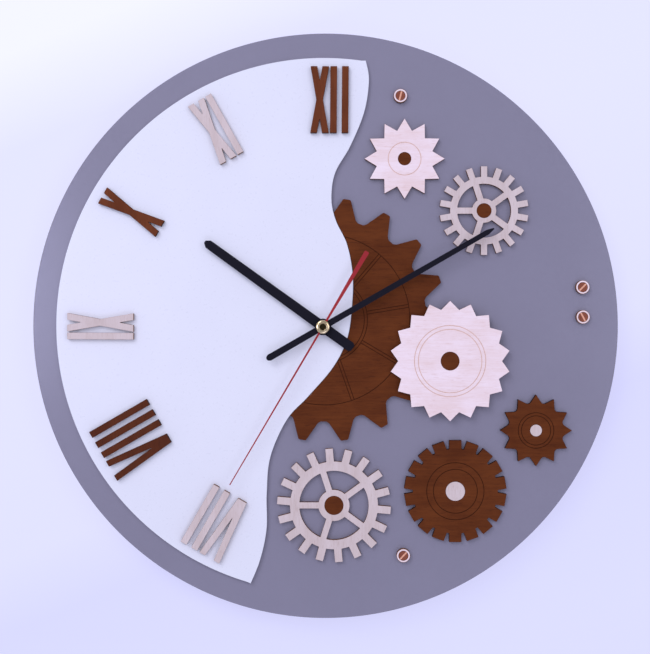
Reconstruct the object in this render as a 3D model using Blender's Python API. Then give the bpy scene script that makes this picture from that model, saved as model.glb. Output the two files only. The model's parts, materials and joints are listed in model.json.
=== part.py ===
"""Wall clock with laser-cut gear trim on a round board, driven by a quartz movement behind it.

Lengths below are in millimetres. The clock faces -Y with +Z up. The origin is on the wall plane,
behind the arbor, and "depth" is the distance out from the wall, so y = -depth.
"""

import math

import bmesh
import bpy

MM = 0.001

# Board and dial
DISC_R = 150.0
DISC_CENTRE = (1.0, 0.2)
DISC_BACK = 17.7
DISC_FRONT = 21.7
NUT_RECESS_R = 7.8
NUT_RECESS_FLOOR = 19.2
BUSH_HOLE_R = 4.3
PLY = 3.0
TRIM_BACK = 22.0
TRIM_FRONT = TRIM_BACK + PLY
TOP_BACK = TRIM_FRONT + 0.2
TOP_FRONT = TOP_BACK + PLY
DIAL_R = 136.6
DIAL_CENTRE = (0.2, 0.4)
DIAL_HOLE_R = 3.2
CUT_GAP = 0.25

# The dial plate's right edge, from its top corner to its bottom corner (x, z)
EDGE_POINTS = (
    (21.8, 135.6), (23.4, 125.6), (21.0, 109.6), (13.9, 92.2), (6.2, 78.6), (4.3, 65.6),
    (6.4, 54.6), (12.2, 42.2), (15.1, 27.1), (14.9, 12.2), (12.5, -5.4), (5.3, -20.4),
    (-7.6, -35.6), (-18.5, -47.5), (-26.9, -66.4), (-28.8, -85.4), (-28.9, -103.4), (-32.2, -119.2),
    (-37.0, -131.3),
)
EDGE_STEPS = 3
ARC_STEPS = 56

# Numerals
NUMERAL_CENTRE = (1.2, 0.8)
NUMERAL_HEIGHT = 33.7
STROKE = 3.4
X_WIDTH = 9.4
V_WIDTH = 11.6
V_ARM = 2.6
V_FOOT = 5.0
V_NOTCH = 9.5

# Hands, at ten past ten: degrees clockwise from twelve, and each blade's back and front
HOUR_ANGLE = 305.8
MINUTE_ANGLE = 60.1
SECOND_ANGLE = 210.5
HOUR_LENGTH, HOUR_TAIL = 73.8, 18.6
MINUTE_LENGTH, MINUTE_TAIL = 99.7, 32.8
SECOND_LENGTH, SECOND_TAIL = 92.7, 44.1
HOUR_BLADE = (29.3, 29.9)
MINUTE_BLADE = (31.3, 31.8)
SECOND_BLADE = (33.3, 33.6)
HOUR_TUBE_R, HOUR_TUBE_END = 2.5, 30.0
MINUTE_TUBE_R, MINUTE_TUBE_END = 1.75, 32.0
SECOND_ARBOR_R, SECOND_ARBOR_END = 0.55, 34.0
RUNNING_GAP = 0.25

# Movement case
CASE_HALF = 28.0
CASE_WALL = 1.0
CASE_CORNER = 3.0
BACK_WALL = 1.2
CASE_SPLIT = 9.0
FRONT_INNER = 15.3
CASE_FRONT = 16.5
BUSH_R = 4.0
BUSH_BORE_R = 2.75
BUSH_END = 21.4
DIVIDER = (-11.9, -10.9)
BAY_HALF_LENGTH = 26.6
BAY_FLOOR = -27.4
CUT_THROUGH = 1.0
JOIN_DEPTH = 0.4

# Hanging loop on top of the case
LOOP_HALF, LOOP_TOP = 8.5, 38.0
LOOP_BACK, LOOP_FRONT = 0.15, 2.3
EYE_HALF, EYE_TOP, EYE_FLOOR = 4.7, 35.2, 29.8

# Battery, size AA, lying along X
BATTERY_R = 7.25
BATTERY_Z = -19.4
BATTERY_DEPTH = 7.65
BATTERY_HALF = 25.25
NUB_LENGTH = 1.0
NUB_R = 2.7

# Wheel train. Modules follow from the tooth counts and the distances between the arbors.
PRESSURE_ANGLE = math.radians(20.0)
ADDENDUM = 0.8
DEDENDUM = 1.1
PINION_SHIFT = 0.4
TOOTH_PLAY = 0.05
HOUR_TEETH, SETTING_PINION_TEETH = 40, 10
SETTING_TEETH, CANNON_TEETH = 36, 12
CENTRE_TEETH, THIRD_PINION_TEETH = 64, 8
THIRD_TEETH, SECOND_PINION_TEETH = 60, 8
SECOND_TEETH, INTERMEDIATE_PINION_TEETH = 60, 10
INTERMEDIATE_TEETH, ROTOR_PINION_TEETH = 50, 10
SETTING_REACH, SETTING_DIRECTION = 12.0, 165.0
THIRD_REACH, THIRD_DIRECTION = 11.4, 30.0
INTERMEDIATE_REACH, INTERMEDIATE_DIRECTION = 11.2, 95.0
ROTOR_REACH, ROTOR_DIRECTION = 8.4, 150.0
PIVOT_R = 0.35
PIVOT_HOLE_R = 0.55
PIVOT_BACK = 0.6
PIVOT_FRONT = 15.8
SHAFT_R = 0.6
COLLAR_R = 0.8
KNOB_R, KNOB_HOLE_R = 5.3, 6.0

# Depths of the movement's inner pieces: back and front
INTERMEDIATE_LEVEL = (1.9, 2.7)
BOARD_LEVEL = (1.9, 2.9)
SECOND_LEVEL = (3.4, 4.4)
MAGNET_LEVEL = (4.2, 6.4)
STATOR_LEVEL = (4.8, 5.6)
THIRD_LEVEL = (5.2, 6.2)
MIDDLE_PLATE_LEVEL = (7.2, 8.0)
CENTRE_LEVEL = (9.0, 10.0)
SETTING_LEVEL = (11.0, 12.0)
HOUR_LEVEL = (13.2, 14.2)
KNOB_LEVEL = (0.3, 1.5)
REAR_SHOULDER = BACK_WALL + 0.25
PLATE_SHOULDER = MIDDLE_PLATE_LEVEL[0] - 0.3
PLATE_PIVOT_END = MIDDLE_PLATE_LEVEL[1] - 0.2


# ---------------------------------------------------------------- scene and materials

def clear_scene():
    for obj in list(bpy.data.objects):
        bpy.data.objects.remove(obj)


def finish(name, colour, roughness, metallic=0.0):
    material = bpy.data.materials.new(name)
    material.use_nodes = True
    shader = material.node_tree.nodes["Principled BSDF"]
    shader.inputs["Base Color"].default_value = (*colour, 1.0)
    shader.inputs["Roughness"].default_value = roughness
    shader.inputs["Metallic"].default_value = metallic
    material.diffuse_color = (*colour, 1.0)
    return material


def add_object(name, mesh, material):
    """Turns a bmesh into an object, smooth except at its corners."""
    bmesh.ops.recalc_face_normals(mesh, faces=mesh.faces)
    data = bpy.data.meshes.new(name)
    mesh.to_mesh(data)
    mesh.free()
    data.materials.append(material)
    data.shade_smooth()
    data.set_sharp_from_angle(angle=math.radians(35.0))
    obj = bpy.data.objects.new(name, data)
    bpy.context.scene.collection.objects.link(obj)
    return obj


def place(obj, x, z, clockwise=0.0):
    """Moves a piece to (x, z) on the face and turns it clockwise, as seen from the front."""
    obj.location = (x * MM, 0.0, z * MM)
    obj.rotation_euler = (0.0, math.radians(clockwise), 0.0)
    return obj


# ---------------------------------------------------------------- outlines, as lists of (x, z)

def circle(radius, count=24, centre=(0.0, 0.0)):
    step = 2 * math.pi / count
    return [
        (centre[0] + radius * math.cos(i * step), centre[1] + radius * math.sin(i * step))
        for i in range(count)
    ]


def rectangle(x0, x1, z0, z1):
    return [(x0, z0), (x1, z0), (x1, z1), (x0, z1)]


def rounded_rectangle(half_width, half_height, corner, steps=4):
    points = []
    for quarter in range(4):
        along_x = 1 if quarter in (0, 3) else -1
        along_z = 1 if quarter in (0, 1) else -1
        for i in range(steps + 1):
            angle = math.radians(90 * (quarter + i / steps))
            points.append((
                along_x * (half_width - corner) + corner * math.cos(angle),
                along_z * (half_height - corner) + corner * math.sin(angle),
            ))
    return points


def polar(radius, degrees):
    angle = math.radians(degrees)
    return radius * math.cos(angle), radius * math.sin(angle)


def toothed(count, first, tooth, valley=()):
    """Repeats a tooth, and a valley, round a circle. Both are points (across, radius)."""
    points = []
    for i in range(count):
        for half_steps, profile in ((2 * i, tooth), (2 * i + 1, valley)):
            angle = math.radians(first + half_steps * 180.0 / count)
            for across, radius in profile:
                points.append((
                    radius * math.cos(angle) - across * math.sin(angle),
                    radius * math.sin(angle) + across * math.cos(angle),
                ))
    return points


def smooth_run(points, steps):
    """A Catmull-Rom curve through the points."""
    run = []
    for i in range(len(points) - 1):
        before = points[max(i - 1, 0)]
        start, end = points[i], points[i + 1]
        after = points[min(i + 2, len(points) - 1)]
        for k in range(steps):
            t = k / steps
            run.append(tuple(
                0.5 * (2 * p1 + (p2 - p0) * t + (2 * p0 - 5 * p1 + 4 * p2 - p3) * t * t
                       + (3 * p1 - p0 - 3 * p2 + p3) * t ** 3)
                for p0, p1, p2, p3 in zip(before, start, end, after)
            ))
    run.append(points[-1])
    return run


def dial_outline():
    """The dial plate: the waved right edge, then the arc from its foot round the left to its top."""
    edge = smooth_run(EDGE_POINTS, EDGE_STEPS)
    centre_x, centre_z = DIAL_CENTRE
    start = math.degrees(math.atan2(edge[-1][1] - centre_z, edge[-1][0] - centre_x)) % 360
    end = math.degrees(math.atan2(edge[0][1] - centre_z, edge[0][0] - centre_x))
    spots = [polar(DIAL_R, start + (end - start) * i / ARC_STEPS) for i in range(1, ARC_STEPS)]
    return edge + [(centre_x + x, centre_z + z) for x, z in spots]


# ---------------------------------------------------------------- solids

def add_loop(mesh, outline, depth):
    """One closed loop of vertices, on a plane at this depth."""
    verts = [mesh.verts.new((x * MM, -depth * MM, z * MM)) for x, z in outline]
    for i, vert in enumerate(verts):
        mesh.edges.new((vert, verts[(i + 1) % len(verts)]))
    return verts


def loop_edges(mesh, verts):
    return [mesh.edges.get((vert, verts[(i + 1) % len(verts)])) for i, vert in enumerate(verts)]


def plate(name, outline, back, front, material, holes=()):
    """A flat piece with through holes."""
    mesh = bmesh.new()
    edges = []
    for loop in (outline, *holes):
        edges += loop_edges(mesh, add_loop(mesh, loop, back))
    bmesh.ops.triangle_fill(mesh, use_beauty=True, use_dissolve=False, edges=edges)
    raised = bmesh.ops.extrude_face_region(mesh, geom=mesh.faces[:])["geom"]
    verts = [item for item in raised if isinstance(item, bmesh.types.BMVert)]
    bmesh.ops.translate(mesh, vec=(0.0, (back - front) * MM, 0.0), verts=verts)
    return add_object(name, mesh, material)


def join_loops(mesh, first, second):
    """Walls between loops of one count, and a flat face with a hole between unlike loops."""
    if len(first) == len(second):
        for i, vert in enumerate(first):
            k = (i + 1) % len(first)
            mesh.faces.new((vert, first[k], second[k], second[i]))
    else:
        edges = loop_edges(mesh, first) + loop_edges(mesh, second)
        bmesh.ops.triangle_fill(mesh, use_beauty=True, use_dissolve=False, edges=edges)


def stack(name, levels, material, bored=False):
    """A solid whose surface passes through a row of levels, each an outline and its depth.

    A bored piece's levels go forward outside and back inside, and meet again at the first one.
    """
    mesh = bmesh.new()
    loops = [add_loop(mesh, outline, depth) for outline, depth in levels]
    for first, second in zip(loops, loops[1:]):
        join_loops(mesh, first, second)
    if bored:
        join_loops(mesh, loops[-1], loops[0])
    else:
        mesh.faces.new(loops[0])
        mesh.faces.new(loops[-1])
    return add_object(name, mesh, material)


def turned_along_x(name, profile, centre_depth, centre_z, material, bored=False, count=24):
    """A turned piece whose axis is parallel to X. The profile is points (x, radius)."""
    mesh = bmesh.new()
    loops = []
    for x, radius in profile:
        loops.append([
            mesh.verts.new((x * MM, (u - centre_depth) * MM, (v + centre_z) * MM))
            for u, v in circle(radius, count)
        ])
    for first, second in zip(loops, loops[1:]):
        join_loops(mesh, first, second)
    if bored:
        join_loops(mesh, loops[-1], loops[0])
    else:
        mesh.faces.new(loops[0])
        mesh.faces.new(loops[-1])
    return add_object(name, mesh, material)


def combine(target, tool, operation):
    """Joins a guide solid to the target, or cuts it away, with a Boolean that stays on the target."""
    modifier = target.modifiers.new(tool.name, "BOOLEAN")
    modifier.operation = operation
    modifier.object = tool
    tool.hide_render = True
    tool.display_type = "WIRE"


# ---------------------------------------------------------------- board, dial and trim

def build_board():
    disc = circle(DISC_R, 128, DISC_CENTRE)
    recess = circle(NUT_RECESS_R, 24)
    hole = circle(BUSH_HOLE_R, 24)
    stack("base_disc", [
        (disc, DISC_BACK), (disc, DISC_FRONT), (recess, DISC_FRONT), (recess, NUT_RECESS_FLOOR),
        (hole, NUT_RECESS_FLOOR), (hole, DISC_BACK),
    ], GREY_PAINT, bored=True)
    plate("dial_plate", dial_outline(), TRIM_BACK, TRIM_FRONT, WHITE_PAINT,
          holes=[circle(DIAL_HOLE_R, 20)])


def build_large_gear():
    """The large gear is cut short where the dial plate's edge crosses it."""
    tip_r, root_r, foot_r = 62.4, 52.0, 52.7
    tip_half, foot_half, valley_half = 1.9, 6.3, 1.5
    tooth = [(-foot_half, foot_r), (-tip_half, tip_r), (tip_half, tip_r), (foot_half, foot_r)]
    valley = [(-valley_half, root_r), (valley_half, root_r)]
    gear = plate("large_gear", toothed(18, -0.6, tooth, valley), TRIM_BACK, TRIM_FRONT, BROWN_PLY)
    place(gear, 0.8, 3.6)
    edge = [(x + CUT_GAP, z) for x, z in smooth_run(EDGE_POINTS, EDGE_STEPS)]
    beyond = [(-DISC_R, edge[-1][1]), (-DISC_R, edge[0][1])]
    cutter = plate("large_gear_cutter", edge + beyond, TRIM_BACK - PLY, TRIM_FRONT + PLY, BROWN_PLY)
    combine(gear, cutter, "DIFFERENCE")


def hubbed_gear(name, x, z, outline, hub_r, back, materials, windows=()):
    """A trim gear with a disc of the other wood let into its middle."""
    wood, hub_wood = materials
    front = back + PLY
    gear = plate(name, outline, back, front, wood, holes=[circle(hub_r + CUT_GAP, 24), *windows])
    hub = plate(name + "_hub", circle(hub_r, 24), back, front, hub_wood)
    place(gear, x, z)
    place(hub, x, z)


def star_outline(count, tip_r, valley_r):
    return toothed(count, 90.0, [(0.0, tip_r)], [(0.0, valley_r)])


def spoke_windows(rim_r, hub_ring_r, spoke_width, first=0.0, count=5):
    """The openings between the spokes of a gear."""
    windows = []
    for i in range(count):
        from_angle = first + i * 360.0 / count
        to_angle = from_angle + 360.0 / count
        window = []
        for radius, steps, reverse in ((rim_r, 6, False), (hub_ring_r, 3, True)):
            inset = math.degrees(math.asin(spoke_width / 2 / radius))
            angles = [
                from_angle + inset + (to_angle - from_angle - 2 * inset) * k / steps
                for k in range(steps + 1)
            ]
            if reverse:
                angles.reverse()
            window += [polar(radius, angle) for angle in angles]
        windows.append(window)
    return windows


def square_toothed(count, first, tip_r, rim_r, width):
    half = width / 2
    foot = math.sqrt(rim_r ** 2 - half ** 2)
    return toothed(count, first, [(-half, foot), (-half, tip_r), (half, tip_r), (half, foot)],
                   [(0.0, rim_r)])


def build_trim_gears():
    cream = (CREAM_PLY, BROWN_PLY)
    brown = (BROWN_PLY, CREAM_PLY)
    hubbed_gear("upper_star_gear", 41.6, 85.7, star_outline(12, 20.5, 14.7), 3.3, TRIM_BACK, cream)
    hubbed_gear("upper_spoked_gear", 82.1, 59.2, square_toothed(18, 90.0, 22.6, 17.3, 3.2), 3.7,
                TRIM_BACK, cream, spoke_windows(13.7, 6.2, 3.2, 36.0))
    hubbed_gear("large_star_gear", 64.6, -17.4, star_outline(18, 30.6, 26.4), 4.7, TOP_BACK, cream)
    scalloped = toothed(12, 90.0, [(0.0, 18.3)], [(-1.4, 14.6), (0.0, 14.1), (1.4, 14.6)])
    hubbed_gear("small_star_gear", 108.7, -52.9, scalloped, 3.0, TRIM_BACK, brown)
    hubbed_gear("square_tooth_gear", 67.6, -84.0, square_toothed(18, 90.0, 26.0, 21.7, 6.3), 4.9,
                TRIM_BACK, brown)
    hubbed_gear("lower_spoked_gear", 5.6, -91.3, square_toothed(18, 95.0, 29.1, 22.5, 3.9), 4.8,
                TRIM_BACK, cream, spoke_windows(17.7, 8.0, 3.2, 36.0))


def build_decorative_screws():
    """Round studs that look like screw heads: a cream ring with a slotted brown disc in it."""
    ring_r, head_r, slot_half, fit = 3.5, 2.4, 0.43, 0.15
    seat, slot_floor = TRIM_BACK + 1.0, TRIM_BACK + 1.9
    places = ((39.5, 117.8, 15.0), (132.4, 20.2, 45.0), (132.6, 5.0, -28.0), (41.1, -117.0, 43.0))
    for number, (x, z, slot_turn) in enumerate(places, start=1):
        ring = stack(f"screw_ring_{number}", [
            (circle(ring_r), TRIM_BACK), (circle(ring_r), TRIM_FRONT),
            (circle(head_r + fit), TRIM_FRONT), (circle(head_r + fit), seat),
        ], CREAM_PLY)
        head = plate(f"screw_head_{number}", circle(head_r), seat + fit, TRIM_FRONT, BROWN_PLY)
        slot = plate(f"screw_slot_{number}", rectangle(-slot_half, slot_half, -ring_r, ring_r),
                     slot_floor, TRIM_FRONT + CUT_THROUGH, BROWN_PLY)
        for piece in (ring, head, slot):
            place(piece, x, z, slot_turn)
        combine(head, slot, "DIFFERENCE")


# ---------------------------------------------------------------- numerals

def bar_outline():
    half = NUMERAL_HEIGHT / 2
    return rectangle(-STROKE / 2, STROKE / 2, -half, half)


def cross_outline():
    """Two bars that cross in the middle, with their ends cut level."""
    half, side = NUMERAL_HEIGHT / 2, X_WIDTH / 2
    inner = side - STROKE
    lean = (side + inner) / NUMERAL_HEIGHT
    notch = half - inner / lean
    waist = (side - inner) / 2
    return [
        (-side, -half), (-inner, -half), (0.0, -notch), (inner, -half), (side, -half), (waist, 0.0),
        (side, half), (inner, half), (0.0, notch), (-inner, half), (-side, half), (-waist, 0.0),
    ]


def vee_outline():
    half = NUMERAL_HEIGHT / 2
    return [
        (-V_FOOT / 2, -half), (V_FOOT / 2, -half), (V_WIDTH / 2, half), (V_ARM, half),
        (0.0, V_NOTCH - half), (-V_ARM, half), (-V_WIDTH / 2, half),
    ]


def build_numerals():
    """Each stroke is a piece of its own. Radius and turn are as glued by hand, and each stroke's
    offset runs along the reading direction."""
    numerals = (
        (12, BROWN_PLY, 114.6, 0.4, (("x", -2.85), ("i1", 4.2), ("i2", 10.1))),
        (11, CREAM_PLY, 114.15, 0.8, (("x", -0.5), ("i1", 6.65))),
        (10, BROWN_PLY, 114.3, 0.25, (("x", 0.5),)),
        (9, CREAM_PLY, 114.5, 0.3, (("i1", -5.5), ("x", 1.45))),
        (8, BROWN_PLY, 114.6, 0.0, (("v", -9.9), ("i1", -0.6), ("i2", 5.3), ("i3", 11.3))),
        (7, CREAM_PLY, 115.35, 0.0, (("v", -8.1), ("i1", 0.85), ("i2", 7.05))),
    )
    outlines = {"x": cross_outline(), "v": vee_outline(), "i": bar_outline()}
    for hour, wood, radius, turn, strokes in numerals:
        angle = math.radians(hour * 30.0)
        for stroke, along in strokes:
            piece = plate(f"numeral_{hour}_{stroke}", outlines[stroke[0]], TOP_BACK, TOP_FRONT, wood)
            x = radius * math.sin(angle) + along * math.cos(angle)
            z = radius * math.cos(angle) - along * math.sin(angle)
            place(piece, NUMERAL_CENTRE[0] + x, NUMERAL_CENTRE[1] + z, hour * 30.0 + turn)


# ---------------------------------------------------------------- hands

def hand_outline(tip, tail, hub_r):
    """A hand that points up. Tip and tail are right-hand points (x, z), outwards from the hub."""
    first, last = tip[0], tail[0]
    start = math.asin(first[0] / hub_r)
    end = math.pi - math.asin(last[0] / hub_r)
    steps = 6
    hub = [
        (hub_r * math.sin(start + (end - start) * i / steps),
         hub_r * math.cos(start + (end - start) * i / steps))
        for i in range(steps + 1)
    ]
    right = list(reversed(tip[1:])) + hub + list(tail[1:])
    left = [(-x, z) for x, z in reversed(right) if x > 0]
    return right + left


def build_hands():
    half = 2.6
    hour = plate("hour_hand", hand_outline(
        [(half, 0.0), (2.25, HOUR_LENGTH - 2.1), (0.7, HOUR_LENGTH)],
        [(half, 0.0), (2.5, 1.3 - HOUR_TAIL), (1.5, -HOUR_TAIL)], 4.2,
    ), *HOUR_BLADE, BLACK_PAINT, holes=[circle(HOUR_TUBE_R + RUNNING_GAP, 16)])
    half = 1.6
    minute = plate("minute_hand", hand_outline(
        [(half, 0.0), (1.3, MINUTE_LENGTH - 3.8), (0.35, MINUTE_LENGTH)],
        [(half, 0.0), (1.7, 1.6 - MINUTE_TAIL), (1.1, 0.4 - MINUTE_TAIL), (0.4, -MINUTE_TAIL)], 3.9,
    ), *MINUTE_BLADE, BLACK_PAINT, holes=[circle(MINUTE_TUBE_R + RUNNING_GAP, 16)])
    half, tube_r, bore_r = 0.5, 1.15, SECOND_ARBOR_R + RUNNING_GAP
    second = plate("second_hand", hand_outline(
        [(half, 0.0), (0.25, SECOND_LENGTH)],
        [(half, 0.0), (1.25, 0.5 - SECOND_TAIL), (0.9, -SECOND_TAIL)], 3.0,
    ), *SECOND_BLADE, RED_PAINT, holes=[circle(tube_r + RUNNING_GAP, 12)])
    boss_r, edge_r, dimple_r = 3.45, 3.05, 1.4
    tube_back, boss_back, boss_edge, boss_front, dimple_floor = 32.5, 33.8, 35.0, 35.3, 34.6
    boss = stack("second_hand_boss", [
        (circle(bore_r), SECOND_ARBOR_END + 0.2), (circle(bore_r), tube_back),
        (circle(tube_r), tube_back), (circle(tube_r), boss_back), (circle(boss_r), boss_back),
        (circle(boss_r), boss_edge), (circle(edge_r), boss_front), (circle(dimple_r), boss_front),
        (circle(dimple_r), dimple_floor),
    ], BRASS)
    place(hour, 0.0, 0.0, HOUR_ANGLE)
    place(minute, 0.0, 0.0, MINUTE_ANGLE)
    place(second, 0.0, 0.0, SECOND_ANGLE)
    place(boss, 0.0, 0.0)


# ---------------------------------------------------------------- movement case

def case_outlines():
    """The case wall, outside and inside, and how far its divider reaches into it to each side."""
    inner_half = CASE_HALF - CASE_WALL
    outer = rounded_rectangle(CASE_HALF, CASE_HALF, CASE_CORNER)
    inner = rounded_rectangle(inner_half, inner_half, CASE_CORNER - CASE_WALL)
    return outer, inner, inner_half + CASE_WALL / 2


def mirrored(points):
    """An outline that is the same on both sides, from the points of its right side."""
    return points + [(-x, z) for x, z in reversed(points)]


def build_case_back():
    outer, inner, reach = case_outlines()
    case = stack("case_back", [
        (outer, 0.0), (outer, CASE_SPLIT), (inner, CASE_SPLIT), (inner, BACK_WALL),
    ], BLACK_PLASTIC)
    divider = plate("case_back_divider", rectangle(-reach, reach, *DIVIDER),
                    BACK_WALL / 2, CASE_SPLIT - 0.2, BLACK_PLASTIC)
    combine(case, divider, "UNION")
    through = (-CUT_THROUGH, BACK_WALL + JOIN_DEPTH)
    bay_opening = rectangle(-BAY_HALF_LENGTH, BAY_HALF_LENGTH, BAY_FLOOR, DIVIDER[0] - 0.05)
    bay = plate("case_back_bay", bay_opening, *through, BLACK_PLASTIC)
    combine(case, bay, "DIFFERENCE")
    arch = [(LOOP_HALF, CASE_HALF - 2.0), (LOOP_HALF, LOOP_TOP - 3.5),
            (LOOP_HALF - 2.5, LOOP_TOP - 0.6), (LOOP_HALF - 4.5, LOOP_TOP)]
    eye = [(EYE_HALF, EYE_FLOOR), (EYE_HALF, EYE_TOP - 2.2), (EYE_HALF - 1.4, EYE_TOP - 0.5),
           (EYE_HALF - 3.0, EYE_TOP)]
    hanger = plate("case_back_hanger", mirrored(arch), LOOP_BACK, LOOP_FRONT, BLACK_PLASTIC,
                   holes=[mirrored(eye)])
    combine(case, hanger, "UNION")
    knob_hole = plate("case_back_knob_hole", circle(KNOB_HOLE_R, 24, SETTING_AXIS), *through,
                      BLACK_PLASTIC)
    combine(case, knob_hole, "DIFFERENCE")
    for number, axis in enumerate((THIRD_AXIS, INTERMEDIATE_AXIS, ROTOR_AXIS, (0.0, 0.0)), start=1):
        pivot = plate(f"case_back_pivot_{number}", circle(PIVOT_HOLE_R, 12, axis),
                      PIVOT_BACK / 2, BACK_WALL + JOIN_DEPTH, BLACK_PLASTIC)
        combine(case, pivot, "DIFFERENCE")


def build_case_front():
    outer, inner, reach = case_outlines()
    rim = CASE_SPLIT + 0.2
    case = stack("case_front", [
        (outer, rim), (outer, CASE_FRONT), (circle(BUSH_R), CASE_FRONT), (circle(BUSH_R), BUSH_END),
        (circle(BUSH_BORE_R), BUSH_END), (circle(BUSH_BORE_R), FRONT_INNER), (inner, FRONT_INNER),
        (inner, rim),
    ], BLACK_PLASTIC, bored=True)
    divider = plate("case_front_divider", rectangle(-reach, reach, *DIVIDER), rim + 0.2,
                    FRONT_INNER + JOIN_DEPTH, BLACK_PLASTIC)
    combine(case, divider, "UNION")
    for number, axis in enumerate((SETTING_AXIS, THIRD_AXIS), start=1):
        pivot = plate(f"case_front_pivot_{number}", circle(PIVOT_HOLE_R + 0.1, 12, axis),
                      FRONT_INNER - JOIN_DEPTH, PIVOT_FRONT + 0.3, BLACK_PLASTIC)
        combine(case, pivot, "DIFFERENCE")


def build_fasteners():
    nut_back, nut_corner_r, gasket_r = NUT_RECESS_FLOOR + 0.2, 6.93, 10.0
    plate("hex_nut", toothed(6, 0.0, [(0.0, nut_corner_r)]), nut_back, BUSH_END, BRASS,
          holes=[circle(BUSH_R + RUNNING_GAP)])
    plate("gasket", circle(gasket_r, 32), CASE_FRONT + 0.2, DISC_BACK - 0.2, RUBBER,
          holes=[circle(BUSH_R + 0.3)])


# ---------------------------------------------------------------- wheel train

def involute(angle):
    return math.tan(angle) - angle


def gear_outline(teeth, module, shift, phase):
    """An involute gear with stub teeth, one of them centred on the phase, in radians."""
    pitch_r = teeth * module / 2
    base_r = pitch_r * math.cos(PRESSURE_ANGLE)
    tip_r = pitch_r + module * (ADDENDUM + shift)
    root_r = pitch_r - module * (DEDENDUM - shift)
    half = (math.pi / 2 + 2 * shift * math.tan(PRESSURE_ANGLE)) / teeth - TOOTH_PLAY / pitch_r
    radii = (root_r, tip_r) if shift < 0 else (root_r, (base_r + tip_r) / 2, tip_r)
    flank = []
    for radius in radii:
        rolled = math.acos(min(base_r / radius, 1.0))
        flank.append((half + involute(PRESSURE_ANGLE) - involute(rolled), radius))
    tooth = [(-angle, radius) for angle, radius in flank]
    tooth += [(angle, radius) for angle, radius in reversed(flank)]
    points = []
    for i in range(teeth):
        centre = phase + i * 2 * math.pi / teeth
        points += [
            (radius * math.cos(centre + angle), radius * math.sin(centre + angle))
            for angle, radius in tooth
        ]
    return points


def meshed_pair(wheel_teeth, pinion_teeth, reach, direction):
    """Outlines of a wheel and of the pinion that it meshes with.

    The direction, in radians, is from the wheel's arbor to the pinion's. The wheel has a tooth on
    that line, and the pinion has a gap there.
    """
    module = 2 * reach / (wheel_teeth + pinion_teeth)
    wheel = gear_outline(wheel_teeth, module, -PINION_SHIFT, direction)
    gap = direction + math.pi + math.pi / pinion_teeth
    return wheel, gear_outline(pinion_teeth, module, PINION_SHIFT, gap)


def rear_pivot(shaft_r):
    """The rear pivot of an arbor, and the start of the shaft in front of it."""
    return [(circle(PIVOT_R, 12), PIVOT_BACK), (circle(PIVOT_R, 12), REAR_SHOULDER),
            (circle(shaft_r, 12), REAR_SHOULDER)]


def shouldered(radius, start, shoulder, end):
    """The rest of a shaft, and the pivot on its front end."""
    return [(circle(radius, 12), start), (circle(radius, 12), shoulder),
            (circle(PIVOT_R, 12), shoulder), (circle(PIVOT_R, 12), end)]


def wheel_on_pinion(shaft_r, wheel, level, pinion, pinion_end):
    """A wheel between its shaft and its pinion, which runs forward from the wheel's face."""
    return [(circle(shaft_r, 12), level[0]), (wheel, level[0]), (wheel, level[1]),
            (pinion, level[1]), (pinion, pinion_end)]


def build_motion_work(hour, cannon, centre, setting, setting_pinion):
    """The tubes that carry the hour and minute hands, and the wheel that sets them."""
    hour_back, hour_hub, hour_bore = HOUR_LEVEL[0] - 0.2, circle(3.2), circle(1.98)
    stack("hour_wheel", [
        (hour_hub, hour_back), (hour_hub, HOUR_LEVEL[0]), (hour, HOUR_LEVEL[0]),
        (hour, HOUR_LEVEL[1]), (circle(HOUR_TUBE_R), HOUR_LEVEL[1]),
        (circle(HOUR_TUBE_R), HOUR_TUBE_END), (hour_bore, HOUR_TUBE_END), (hour_bore, hour_back),
    ], WHITE_PLASTIC, bored=True)

    centre_back, cannon_end, centre_bore = CENTRE_LEVEL[0] - 0.6, 12.6, circle(0.95, 20)
    centre_hub, centre_tube = circle(2.1, 20), circle(MINUTE_TUBE_R, 20)
    stack("centre_wheel", [
        (centre_hub, centre_back), (centre_hub, CENTRE_LEVEL[0]), (centre, CENTRE_LEVEL[0]),
        (centre, CENTRE_LEVEL[1]), (cannon, CENTRE_LEVEL[1]), (cannon, cannon_end),
        (centre_tube, cannon_end), (centre_tube, MINUTE_TUBE_END), (centre_bore, MINUTE_TUBE_END),
        (centre_bore, centre_back),
    ], WHITE_PLASTIC, bored=True)

    knurls = 16
    knob = [
        polar(KNOB_R + 0.25 * math.cos(math.pi * i), 180.0 * i / knurls) for i in range(2 * knurls)
    ]
    shaft_r, pinion_end = 1.2, 14.6
    setting_wheel = stack("setting_wheel", [
        (knob, KNOB_LEVEL[0]), (knob, KNOB_LEVEL[1]), (circle(shaft_r, 12), KNOB_LEVEL[1]),
    ] + wheel_on_pinion(shaft_r, setting, SETTING_LEVEL, setting_pinion, pinion_end) + [
        (circle(PIVOT_R, 12), pinion_end), (circle(PIVOT_R, 12), PIVOT_FRONT),
    ], WHITE_PLASTIC)
    place(setting_wheel, *SETTING_AXIS)


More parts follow.
